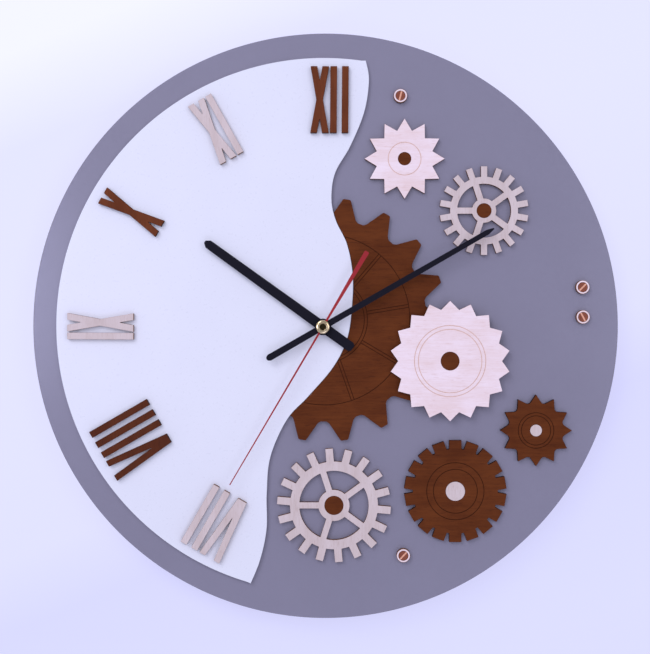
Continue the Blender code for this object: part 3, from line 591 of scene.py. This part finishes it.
BRASS = metal("brass", (0.86, 0.70, 0.40), (0.78, 0.60, 0.30), 0.2)
# A near-black brass: painted shade for the dark hole in the middle of the boss.
BRASS_HOLE_SHADE = metal("brass_hole_painted_shade", (0.045, 0.032, 0.012), (0.02, 0.015, 0.006), 0.5)
STEEL = metal("steel", (0.66, 0.66, 0.68), (0.56, 0.56, 0.58), 0.28)
COPPER = metal("copper", (0.66, 0.24, 0.09), (0.5, 0.16, 0.06), 0.32, (4500.0, 300.0, 300.0), 0.03)
BLACK_PLASTIC = plastic("black_plastic", (0.020, 0.020, 0.022), (0.014, 0.014, 0.016), 0.5)
WHITE_PLASTIC = plastic("white_plastic", (0.80, 0.79, 0.75), (0.74, 0.73, 0.69), 0.36, 0.008)
GREEN_BOARD = plastic("green_board", (0.02, 0.13, 0.05), (0.012, 0.09, 0.035), 0.35, 0.012, 1200.0)
RUBBER = plastic("rubber", (0.022, 0.022, 0.022), (0.035, 0.034, 0.033), 0.85, 0.05, 900.0)
JACKET = jacket("battery_jacket", (0.025, 0.045, 0.16), (0.72, 0.42, 0.08), 25.25)

CREAM = (CREAM_FACE, CREAM_EDGE, CREAM_CUT)
TAN = (TAN_FACE, CREAM_EDGE, CREAM_CUT)
BROWN = (BROWN_FACE, BROWN_EDGE, BROWN_CUT)
RUSSET = (RUSSET_FACE, BROWN_EDGE, BROWN_CUT)
UMBER = (UMBER_FACE, BROWN_EDGE, BROWN_CUT)
CREAM_SLOT, BROWN_SLOT = "cream_ply", "brown_ply"


# ---------------------------------------------------------------- board and dial

def build_board():
    """The board, with eased edges, its recess for the nut and its bare wooden back."""
    back, front = depths("base_disc")
    soft = 0.35
    disc, middle_disc, small_disc = (
        circle(DISC_R - inset, DISC_STEPS, DISC_CENTRE) for inset in (0.0, soft * 0.3, soft)
    )
    recess, hole = circle(RECESS_R, 64), circle(BOARD_HOLE_R, 64)
    floor = back + RECESS_DEPTH
    board = stack([
        (small_disc, back), (middle_disc, back + soft * 0.3), (disc, back + soft),
        (disc, front - soft), (middle_disc, front - soft * 0.3), (small_disc, front),
        (recess, front), (recess, floor), (hole, floor), (hole, back),
    ], bored=True)
    for face in board.faces:
        behind = is_cap(face) and -face.calc_center_median().y / MM < back + 0.1
        face.material_index = EDGE if behind else FACE
    add_piece("painted_board", board, (GREY_PAINT, BOARD_BACK), ROOT, ["base_disc"])


def dial_outline():
    """The dial plate: the waved right edge, then the arc from its foot round the left to its top."""
    edge = smooth_run(EDGE_POINTS, EDGE_STEPS)
    centre_x, centre_z = DIAL_CENTRE
    start = math.degrees(math.atan2(edge[-1][1] - centre_z, edge[-1][0] - centre_x)) % 360
    end = math.degrees(math.atan2(edge[0][1] - centre_z, edge[0][0] - centre_x))
    spots = [polar(DIAL_R, start + (end - start) * i / ARC_STEPS) for i in range(1, ARC_STEPS)]
    return edge + [(centre_x + x, centre_z + z) for x, z in spots]


def build_dial():
    back, front = depths("dial_plate")
    dial = slab(dial_outline(), back, front, [circle(DIAL_HOLE_R, 48)])
    ease_rims(dial, 0.25)
    mark(dial, FACE)
    add_piece("painted_dial", dial, (WHITE_PAINT,), ROOT, ["dial_plate"])


# ---------------------------------------------------------------- gear trim

def ring_cutter(radius, front, middle):
    outer, inner = (circle(radius + side * GROOVE_WIDTH / 2, 160, middle) for side in (1, -1))
    floor, above = front - GROOVE_DEPTH, front + OVERCUT
    return mark(stack([(outer, floor), (outer, above), (inner, above), (inner, floor)], True), CUT)


def engraved(mesh, front, middle, radii):
    """Cuts engraved rings into the front of a piece."""
    if radii:
        cutter = mark(merged([ring_cutter(radius, front, middle) for radius in radii]), CUT)
        mesh = combined(mesh, cutter, "DIFFERENCE")
    return mesh


def build_gear(node, outline, woods, rings=(), windows=()):
    """A trim gear and the disc of the other wood let into its middle."""
    wood, hub_wood, slot, hub_slot = woods
    hub_node = node + "_hub"
    x, z = centre(hub_node)
    back, front = depths(node)
    hub_r = half_width(hub_node)
    holes = [placed(circle(hub_r + 0.06, 96), x, z)] + [placed(window, x, z) for window in windows]
    gear = slab(placed(outline, x, z), back, front, holes)
    ease_rims(gear, RIM)
    gear = engraved(mark_sides(gear), front, (x, z), rings)
    add_piece(node.replace("_gear", "") + "_trim", gear, wood, ROOT, [node])
    hub = slab(placed(circle(hub_r - 0.02, 96), x, z), back, front)
    ease_rims(hub, 0.07)
    add_piece(node.replace("_gear", "") + "_inlay", mark_sides(hub), hub_wood, ROOT,
              [hub_node])


def star_outline(count, tip_r, valley_r):
    return rounded(toothed(count, 90.0, [(0.0, tip_r)], [(0.0, valley_r)]), 0.12, 2)


def square_toothed(count, first, tip_r, rim_r, width):
    """Straight-sided teeth on a round rim."""
    half = width / 2
    foot = math.sqrt(rim_r ** 2 - half ** 2)
    half_gap = math.pi / count - math.asin(half / rim_r)
    valley = []
    for k in range(-3, 4):
        angle = half_gap * k / 4
        valley.append((rim_r * math.sin(angle), rim_r * math.cos(angle)))
    tooth = [(-half, foot), (-half, tip_r), (half, tip_r), (half, foot)]
    return rounded(toothed(count, first, tooth, valley), 0.15, 2)


def spoke_windows(rim_r, hub_ring_r):
    """The openings between the spokes."""
    windows = []
    for i in range(SPOKES):
        from_angle = FIRST_SPOKE + i * 360.0 / SPOKES
        to_angle = from_angle + 360.0 / SPOKES
        window = []
        for radius, steps in ((rim_r, 24), (hub_ring_r, 12)):
            inset = math.degrees(math.asin(SPOKE_WIDTH / 2 / radius))
            span = to_angle - from_angle - 2 * inset
            arc = [polar(radius, from_angle + inset + span * k / steps) for k in range(steps + 1)]
            window += arc if radius == rim_r else arc[::-1]
        windows.append(rounded(window, 0.2, 2))
    return windows


def build_trim_gears():
    cream = (CREAM, BROWN, CREAM_SLOT, BROWN_SLOT)
    tan = (TAN, BROWN, CREAM_SLOT, BROWN_SLOT)
    brown = (BROWN, TAN, BROWN_SLOT, CREAM_SLOT)
    build_gear("upper_star_gear", star_outline(12, 20.5, 14.7), cream, (8.35,))
    build_gear("upper_spoked_gear", square_toothed(18, 90.0, 22.6, 17.3, 3.2), tan,
               windows=spoke_windows(13.7, 6.2))
    build_gear("large_star_gear", star_outline(18, 30.6, 26.4), cream, (18.1, 16.1))
    scallop = [(math.sin(k / 3) * 1.7, 14.75 - 0.65 * math.cos(k / 3 * math.pi / 2)) for k in range(-3, 4)]
    small = rounded(toothed(12, 90.0, [(0.0, 18.3)], scallop), 0.12, 2)
    build_gear("small_star_gear", small, brown, (9.05, 7.45))
    build_gear("square_tooth_gear", square_toothed(18, 90.0, 26.0, 21.7, 6.3), brown, (14.6, 11.2))
    build_gear("lower_spoked_gear", square_toothed(18, 95.0, 29.1, 22.5, 3.9), tan,
               windows=spoke_windows(17.7, 8.0))


def build_large_gear():
    """The large gear, cut short at the dial's edge, with rings and nine engraved spokes."""
    back, front = depths("large_gear")
    tooth = [(-6.3, 52.7), (-1.9, 62.4), (1.9, 62.4), (6.3, 52.7)]
    valley = [(-1.5, 52.0), (1.5, 52.0)]
    outline = placed(rounded(toothed(18, -0.6, tooth, valley), 1.0, 4), *LARGE_GEAR)
    gear = slab(outline, back, front)
    edge = [(x + CUT_GAP, z) for x, z in smooth_run(EDGE_POINTS, EDGE_STEPS)]
    beyond = [(-DISC_R, edge[-1][1]), (-DISC_R, edge[0][1])]
    gear = combined(gear, slab(edge + beyond, back - OVERCUT, front + OVERCUT), "DIFFERENCE")
    ease_rims(gear, RIM)
    gear = engraved(mark_sides(gear), front, LARGE_GEAR, (OUTER_RING_R, INNER_RING_R, 20.3))
    spokes = []
    for k in range(9):
        turn = 90.0 - (9.4 + 40.0 * k)
        for side in (-0.75, 0.75):
            bar = rectangle(side - GROOVE_WIDTH / 2, side + GROOVE_WIDTH / 2, INNER_RING_R, OUTER_RING_R)
            bar = placed(bar, *LARGE_GEAR, turn)
            spokes.append(mark(slab(bar, front - GROOVE_DEPTH, front + OVERCUT), CUT))
    gear = combined(gear, mark(merged(spokes), CUT), "DIFFERENCE")
    add_piece("large_trim", gear, BROWN, ROOT, ["large_gear"])


def build_decorative_screws():
    """Each ring has eased rims, and each head an engraved slot that shows the wood inside it."""
    slot_turns = (15.0, 45.0, -28.0, 43.0)
    for number, turn in enumerate(slot_turns, start=1):
        ring_node, head_node = f"screw_ring_{number}", f"screw_head_{number}"
        middle = centre(ring_node)
        back, front = depths(ring_node)
        ring_r, head_r = half_width(ring_node), half_width(head_node)
        bore_r, seat = head_r + 0.1, depths(head_node)[0] - 0.1
        ring = turned([
            (ring_r, back), (ring_r, front - 0.2), (ring_r - 0.06, front - 0.06),
            (ring_r - 0.2, front), (bore_r + 0.08, front), (bore_r, front - 0.08), (bore_r, seat),
        ], middle=middle)
        add_piece(f"stud_ring_{number}", mark_sides(ring), CREAM, ROOT, [ring_node])
        head = slab(placed(circle(head_r, 72), *middle), *depths(head_node))
        ease_rims(head, 0.1)
        bar = placed(rectangle(-0.43, 0.43, -ring_r, ring_r), *middle, turn)
        cutter = mark(slab(bar, front - 0.3, front + OVERCUT), CUT)
        head = combined(mark_sides(head), cutter, "DIFFERENCE")
        add_piece(f"stud_head_{number}", head, (SIENNA_FACE, BROWN_EDGE, SLOT_CUT), ROOT,
                  [head_node])


# ---------------------------------------------------------------- numerals

def bar_outline():
    half = NUMERAL_HEIGHT / 2
    return rectangle(-STROKE / 2, STROKE / 2, -half, half)


def cross_outline():
    half, side = NUMERAL_HEIGHT / 2, X_WIDTH / 2
    inner = side - STROKE
    lean = (side + inner) / NUMERAL_HEIGHT
    notch = half - inner / lean
    waist = (side - inner) / 2
    return [
        (-side, -half), (-inner, -half), (0.0, -notch), (inner, -half), (side, -half), (waist, 0.0),
        (side, half), (inner, half), (0.0, notch), (-inner, half), (-side, half), (-waist, 0.0),
    ]


def vee_outline():
    half = NUMERAL_HEIGHT / 2
    return [
        (-V_FOOT / 2, -half), (V_FOOT / 2, -half), (V_WIDTH / 2, half), (V_ARM, half),
        (0.0, V_NOTCH - half), (-V_ARM, half), (-V_WIDTH / 2, half),
    ]


def build_numerals():
    """Each stroke is a piece of its own. Radius and turn are as glued by hand, and each stroke's
    offset runs along the reading direction."""
    numerals = (
        (12, RUSSET, BROWN_SLOT, 114.6, 0.4, (("x", -2.85), ("i1", 4.2), ("i2", 10.1))),
        (11, TAN, CREAM_SLOT, 114.15, 0.8, (("x", -0.5), ("i1", 6.65))),
        (10, RUSSET, BROWN_SLOT, 114.3, 0.25, (("x", 0.5),)),
        (9, TAN, CREAM_SLOT, 114.5, 0.3, (("i1", -5.5), ("x", 1.45))),
        (8, UMBER, BROWN_SLOT, 114.6, 0.0, (("v", -9.9), ("i1", -0.6), ("i2", 5.3), ("i3", 11.3))),
        (7, TAN, CREAM_SLOT, 115.35, 0.0, (("v", -8.1), ("i1", 0.85), ("i2", 7.05))),
    )
    outlines = {"x": cross_outline(), "v": vee_outline(), "i": bar_outline()}
    for hour, wood, slot, radius, turn, strokes in numerals:
        angle = math.radians(hour * 30.0)
        for stroke, along in strokes:
            node = f"numeral_{hour}_{stroke}"
            x = radius * math.sin(angle) + along * math.cos(angle)
            z = radius * math.cos(angle) - along * math.sin(angle)
            x, z = NUMERAL_CENTRE[0] + x, NUMERAL_CENTRE[1] + z
            outline = placed(rounded(outlines[stroke[0]], 0.15, 2), x, z, hour * 30.0 + turn)
            piece = slab(outline, *depths(node))
            ease_rims(piece, RIM)
            add_piece(f"stroke_{hour}_{stroke}", mark_sides(piece), wood, ROOT, [node])


# ---------------------------------------------------------------- hands

def hand_outline(tip, tail, hub_r):
    """A hand that points up. Tip and tail are right-hand points (x, z), outwards from the hub."""
    start = math.asin(tip[0][0] / hub_r)
    end = math.pi - math.asin(tail[0][0] / hub_r)
    steps = 16
    hub = [
        (hub_r * math.sin(start + (end - start) * i / steps),
         hub_r * math.cos(start + (end - start) * i / steps))
        for i in range(steps + 1)
    ]
    right = list(reversed(tip[1:])) + hub + list(tail[1:])
    return right + [(-x, z) for x, z in reversed(right)]


def build_hand(name, node, outline, hole_r, clockwise, paint_material, body, rim, corner):
    outline = placed(rounded(outline, corner, 3), 0.0, 0.0, clockwise)
    hand = slab(outline, *depths(node), [circle(hole_r, 48)])
    ease_rims(hand, rim)
    mark(hand, FACE)
    add_piece(name, hand, (paint_material,), body, [node])


def build_hands():
    half = 2.6
    hour = hand_outline([(half, 0.0), (2.25, HOUR_LENGTH - 2.1), (0.7, HOUR_LENGTH)],
                        [(half, 0.0), (2.5, 1.3 - HOUR_TAIL), (1.5, -HOUR_TAIL)], 4.2)
    build_hand("painted_hour_hand", "hour_hand", hour, 2.6, HOUR_ANGLE, BLACK_PAINT, "hour",
               0.12, 0.2)
    half = 1.6
    minute = hand_outline(
        [(half, 0.0), (1.3, MINUTE_LENGTH - 3.8), (0.35, MINUTE_LENGTH)],
        [(half, 0.0), (1.7, 1.6 - MINUTE_TAIL), (1.1, 0.4 - MINUTE_TAIL), (0.4, -MINUTE_TAIL)], 3.9)
    build_hand("painted_minute_hand", "minute_hand", minute, 1.85, MINUTE_ANGLE, BLACK_PAINT,
               "minute", 0.1, 0.2)
    half = 0.5
    second = hand_outline([(half, 0.0), (0.25, SECOND_LENGTH)],
                          [(half, 0.0), (1.25, 0.5 - SECOND_TAIL), (0.9, -SECOND_TAIL)], 3.0)
    build_hand("painted_second_hand", "second_hand", second, 1.2, SECOND_ANGLE, RED_PAINT,
               "second", 0.06, 0.15)
    boss = turned([
        (0.8, 34.2), (0.8, 32.5), (1.15, 32.5), (1.15, 33.8), (3.15, 33.8), (3.37, 33.9), (3.45, 34.15),
        (3.45, 34.5), (3.34, 34.85), (3.07, 35.12), (2.7, 35.27), (2.35, 35.3), (2.0, 35.26),
        (1.72, 35.12), (1.52, 34.9), (1.42, 34.6), (1.38, 34.35),
    ], count=96)
    # The dimple's floor and inner walls get the near-black brass, which is painted shade for the dark
    # hole.
    for face in boss.faces:
        spot = face.calc_center_median()
        inside = math.hypot(spot.x, spot.z) < 1.6 * MM and spot.y < -34.3 * MM
        face.material_index = EDGE if inside else FACE
    add_piece("turned_boss", boss, (BRASS, BRASS_HOLE_SHADE), "second", ["second_hand_boss"])


# ---------------------------------------------------------------- movement case

def case_outline(inset=0.0):
    return rounded_square(CASE_HALF - inset, CASE_CORNER - inset)


def mirrored(points):
    return points + [(-x, z) for x, z in reversed(points)]


def build_case_back():
    """The rear half: battery bay, hanger loop, knob hole, and ejector marks as the mould leaves them."""
    split = depths("case_back")[1]
    case = stack([
        (case_outline(0.7), 0.0), (case_outline(0.3), 0.12), (case_outline(0.08), 0.4),
        (case_outline(), 0.8), (case_outline(), split - 0.15), (case_outline(0.15), split),
        (case_outline(CASE_WALL), split), (case_outline(CASE_WALL), BACK_WALL),
    ])
    reach = CASE_HALF - CASE_WALL / 2
    case = combined(case, slab(rectangle(-reach, reach, *DIVIDER), BACK_WALL / 2, split - 0.2), "UNION")
    bay = rounded(rectangle(-BAY_HALF_LENGTH, BAY_HALF_LENGTH, BAY_FLOOR, DIVIDER[0] - 0.05), 0.3)
    case = combined(case, slab(bay, -OVERCUT, BACK_WALL + 0.4), "DIFFERENCE")
    arch = [(LOOP_HALF, CASE_HALF - 2.0), (LOOP_HALF, LOOP_TOP - 3.5), (LOOP_HALF - 2.5, LOOP_TOP - 0.6),
            (LOOP_HALF - 4.5, LOOP_TOP)]
    eye = [(EYE_HALF, EYE_FLOOR), (EYE_HALF, EYE_TOP - 2.2), (EYE_HALF - 1.4, EYE_TOP - 0.5),
           (EYE_HALF - 3.0, EYE_TOP)]
    loop = slab(rounded(mirrored(arch), 2.5, 6), 0.15, 2.3, [rounded(mirrored(eye), 0.8, 4)])
    ease_rims(loop, 0.3, 3)
    case = combined(case, loop, "UNION")
    setting = centre("setting_wheel")
    knob_hole = slab(circle(KNOB_HOLE_R, 72, setting), -OVERCUT, BACK_WALL + 0.4)
    case = combined(case, knob_hole, "DIFFERENCE")
    outer, inner = circle(8.2, 96, setting), circle(7.7, 96, setting)
    dents = [stack([(outer, -OVERCUT), (outer, 0.3), (inner, 0.3), (inner, -OVERCUT)], True)]
    for middle in ((-22.0, 22.0), (22.0, 22.0), (22.0, -5.0), (-22.0, -8.0)):
        dents.append(turned([(1.6, -OVERCUT), (1.6, 0.25)], count=48, middle=middle))
    case = combined(case, merged(dents), "DIFFERENCE")
    add_piece("moulded_case_back", mark(case, FACE), (BLACK_PLASTIC,), ROOT,
              ["case_back"])


def build_case_front():
    """The front half, with the bush that goes through the board."""
    rim, bush_end = depths("case_front")
    case = stack([
        (case_outline(0.15), rim), (case_outline(), rim + 0.15), (case_outline(), FRONT_FACE - 0.8),
        (case_outline(0.08), FRONT_FACE - 0.4), (case_outline(0.3), FRONT_FACE - 0.12),
        (case_outline(0.7), FRONT_FACE), (circle(BUSH_R), FRONT_FACE), (circle(BUSH_R), bush_end - 0.3),
        (circle(BUSH_R - 0.3), bush_end), (circle(BUSH_BORE_R), bush_end),
        (circle(BUSH_BORE_R), FRONT_INNER), (case_outline(CASE_WALL), FRONT_INNER),
        (case_outline(CASE_WALL), rim),
    ], bored=True)
    reach = CASE_HALF - CASE_WALL / 2
    divider = slab(rectangle(-reach, reach, *DIVIDER), rim + 0.2, FRONT_INNER + 0.4)
    case = combined(case, divider, "UNION")
    add_piece("moulded_case_front", mark(case, FACE), (BLACK_PLASTIC,), ROOT,
              ["case_front"])


def build_clips():
    """The snap hooks that hold the two halves of the case together."""
    split = depths("case_back")[1]
    places = ((-CASE_HALF, 12.0, True), (CASE_HALF, 12.0, True), (-15.0, -CASE_HALF, False),
              (15.0, -CASE_HALF, False))
    for number, (x, z, upright) in enumerate(places, start=1):
        across, along = (0.35, 3.0) if upright else (3.0, 0.35)
        clip = slab(placed(rectangle(-across, across, -along, along), x, z), split - 3.2, split + 3.4)
        bmesh.ops.bevel(clip, geom=clip.edges[:], offset=0.15 * MM, segments=2, profile=0.5,
                        affect="EDGES", clamp_overlap=True)
        add_piece(f"case_clip_{number}", mark(clip, FACE), (BLACK_PLASTIC,), ROOT)


def build_knob():
    """A cap with a knurled rim over the setting wheel's end."""
    x, z = centre("setting_wheel")
    steps = range(2 * KNURLS)
    rim = [polar(5.45 + 0.22 * math.cos(math.pi * i), 180.0 * i / KNURLS) for i in steps]
    inner, dish, floor = ([polar(r, 180.0 * i / KNURLS) for i in steps] for r in (5.1, 3.6, 3.2))
    levels = [(floor, 0.28), (dish, 0.1), (inner, 0.1), (rim, 0.35), (rim, 1.6)]
    knob = stack([(placed(outline, x, z), depth) for outline, depth in levels])
    add_piece("knurled_knob", mark(knob, FACE), (WHITE_PLASTIC,), "setting")


def build_battery():
    """An AA cell, which lies along X: the sleeve turned in at both ends, and the positive nub."""
    low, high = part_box("battery")
    middle = (low + high) / 2
    depth, z, half, radius = -middle.y / MM, middle.z / MM, high.x / MM, (high.z - low.z) / 2 / MM
    body_end, nub_r = half - 1.0, 2.7
    profile = [
        (-half, radius - 1.4), (-half, radius - 1.1), (0.1 - half, radius - 0.4), (0.5 - half, radius),
        (body_end - 0.9, radius), (body_end - 0.4, radius - 0.15), (body_end - 0.1, radius - 0.6),
        (body_end, radius - 1.2), (body_end, nub_r + 0.4), (body_end, nub_r), (half - 0.3, nub_r),
        (half - 0.08, nub_r - 0.2), (half, nub_r - 0.5),
    ]
    battery = turned_along_x(profile, depth, z)
    for face in battery.faces:
        spot = face.calc_center_median()
        across = math.hypot(spot.y + depth * MM, spot.z - z * MM) / MM
        face.material_index = EDGE if across < radius - 0.8 else FACE
    add_piece("sleeved_battery", battery, (JACKET, STEEL), "battery", ["battery"])


def dress_cad_nodes():
    """The CAD's own pieces that stay get their materials."""
    finishes = {
        "white_plastic": WHITE_PLASTIC, "steel": STEEL, "copper": COPPER, "brass": BRASS,
        "black_plastic": BLACK_PLASTIC, "green_board": GREEN_BOARD, "rubber": RUBBER,
    }
    for part in frame["record"]["subparts"]:
        obj = frame["nodes"][part["node"]]
        if not obj.hide_render:
            for slot in obj.material_slots:
                slot.material = finishes[part["material_slot"]]


# ---------------------------------------------------------------- wall, light and camera

def build_wall():
    """A pale wall, clear from behind, with painted light: it glows a little so that shadows on it stay
    faint, and its glow is brightest towards the upper left.
    """
    half, y = 1.6, 0.0004
    data = bpy.data.meshes.new("wall")
    data.from_pydata([(-half, y, -half), (half, y, -half), (half, y, half), (-half, y, half)], [],
                     [(0, 1, 2, 3)])
    wall = bpy.data.objects.new("wall", data)
    bpy.context.scene.collection.objects.link(wall)
    material, tree, shader = new_material("wall_paint", 0.8, specular=0.0)
    plaster = noise(tree, (160.0, 160.0, 160.0), 4.0, 0.6)
    place = add_node(tree, "ShaderNodeTexCoord")
    # Painted light: the wall's glow is graded along this slope, brightest towards the upper left as if a
    # lamp there lit it.
    slope = add_node(tree, "ShaderNodeVectorMath", {
        0: place.outputs["Object"], 1: (-0.45, 0.0, 1.1),
    }, operation="DOT_PRODUCT")
    share = add_node(tree, "ShaderNodeMapRange", {
        "Value": slope.outputs["Value"], "From Min": -0.26, "From Max": 0.26,
    })
    shader.inputs["Base Color"].default_value = (0.22, 0.22, 0.22, 1.0)
    painted_light_glow = ramp(tree, share.outputs["Result"], (
        (0.05, (0.548, 0.553, 0.80)), (0.30, (0.518, 0.522, 0.80)), (0.38, (0.575, 0.580, 0.81)),
        (0.66, (0.600, 0.607, 0.82)), (0.84, (0.596, 0.604, 0.82)), (0.95, (0.722, 0.730, 0.86)),
    ))
    tree.links.new(painted_light_glow, shader.inputs["Emission Color"])
    shader.inputs["Emission Strength"].default_value = 1.0
    bump(tree, shader, plaster, 0.05, 0.5)
    clear = add_node(tree, "ShaderNodeBsdfTransparent")
    side = add_node(tree, "ShaderNodeNewGeometry")
    both = add_node(tree, "ShaderNodeMixShader", {
        "Fac": side.outputs["Backfacing"], 1: shader.outputs["BSDF"], 2: clear.outputs["BSDF"],
    })
    tree.links.new(both.outputs["Shader"], tree.nodes["Material Output"].inputs["Surface"])
    data.materials.append(material)
    wall.visible_shadow = False


def build_light(name, place, width, height, power, colour):
    """A soft light that points at the clock. Its place and size are in metres."""
    data = bpy.data.lights.new(name, "AREA")
    data.shape = "RECTANGLE"
    data.size, data.size_y = width, height
    data.energy = power
    data.color = colour
    light = bpy.data.objects.new(name, data)
    light.location = place
    light.rotation_euler = (-Vector(place)).to_track_quat("-Z", "Y").to_euler()
    bpy.context.scene.collection.objects.link(light)
    return light


def build_world():
    world = bpy.data.worlds.new("studio")
    world.use_nodes = True
    backdrop = world.node_tree.nodes["Background"]
    backdrop.inputs["Color"].default_value = (0.70, 0.72, 1.0, 1.0)
    backdrop.inputs["Strength"].default_value = 0.5
    bpy.context.scene.world = world


def build_camera():
    data = bpy.data.cameras.new("camera")
    data.sensor_width = 36.0
    data.lens = data.sensor_width * CAMERA_DISTANCE / VIEW_HEIGHT
    data.clip_start = 0.01
    camera = bpy.data.objects.new("camera", data)
    front = depths("base_disc")[1]
    target = Vector((AIM_X, -front, AIM_Z)) * MM
    camera.location = target + Vector((CAMERA_RIGHT, -CAMERA_DISTANCE, CAMERA_ABOVE)) * MM
    camera.rotation_euler = (target - camera.location).to_track_quat("-Z", "Y").to_euler()
    bpy.context.scene.collection.objects.link(camera)
    bpy.context.scene.camera = camera


build_board()
build_dial()
build_trim_gears()
build_large_gear()
build_decorative_screws()
build_numerals()
build_hands()
build_case_back()
build_case_front()
build_clips()
build_knob()
build_battery()
dress_cad_nodes()

build_wall()
build_world()
build_light("key", (-0.95, -2.0, 1.25), 0.9, 0.9, 12.0, DAYLIGHT)
build_light("fill", (1.05, -2.0, 0.2), 0.8, 1.2, 7.9, DAYLIGHT)
build_light("low_fill", (0.3, -2.0, -1.1), 1.0, 0.6, 4.6, (0.60, 0.64, 1.0))
front = build_light("front", (-0.3, -1.8, 0.4), 1.2, 1.2, 15.8, DAYLIGHT)
front.visible_glossy = False
window = build_light("window", (-0.87, -1.5, 0.05), 0.86, 0.36, 6.5, (0.66, 0.67, 1.0))
window.visible_diffuse = False
build_light("rear", (0.4, 1.6, 1.0), 1.4, 1.4, 20.0, (0.92, 0.94, 1.0))
build_camera()
bpy.context.scene.view_settings.view_transform = "Standard"
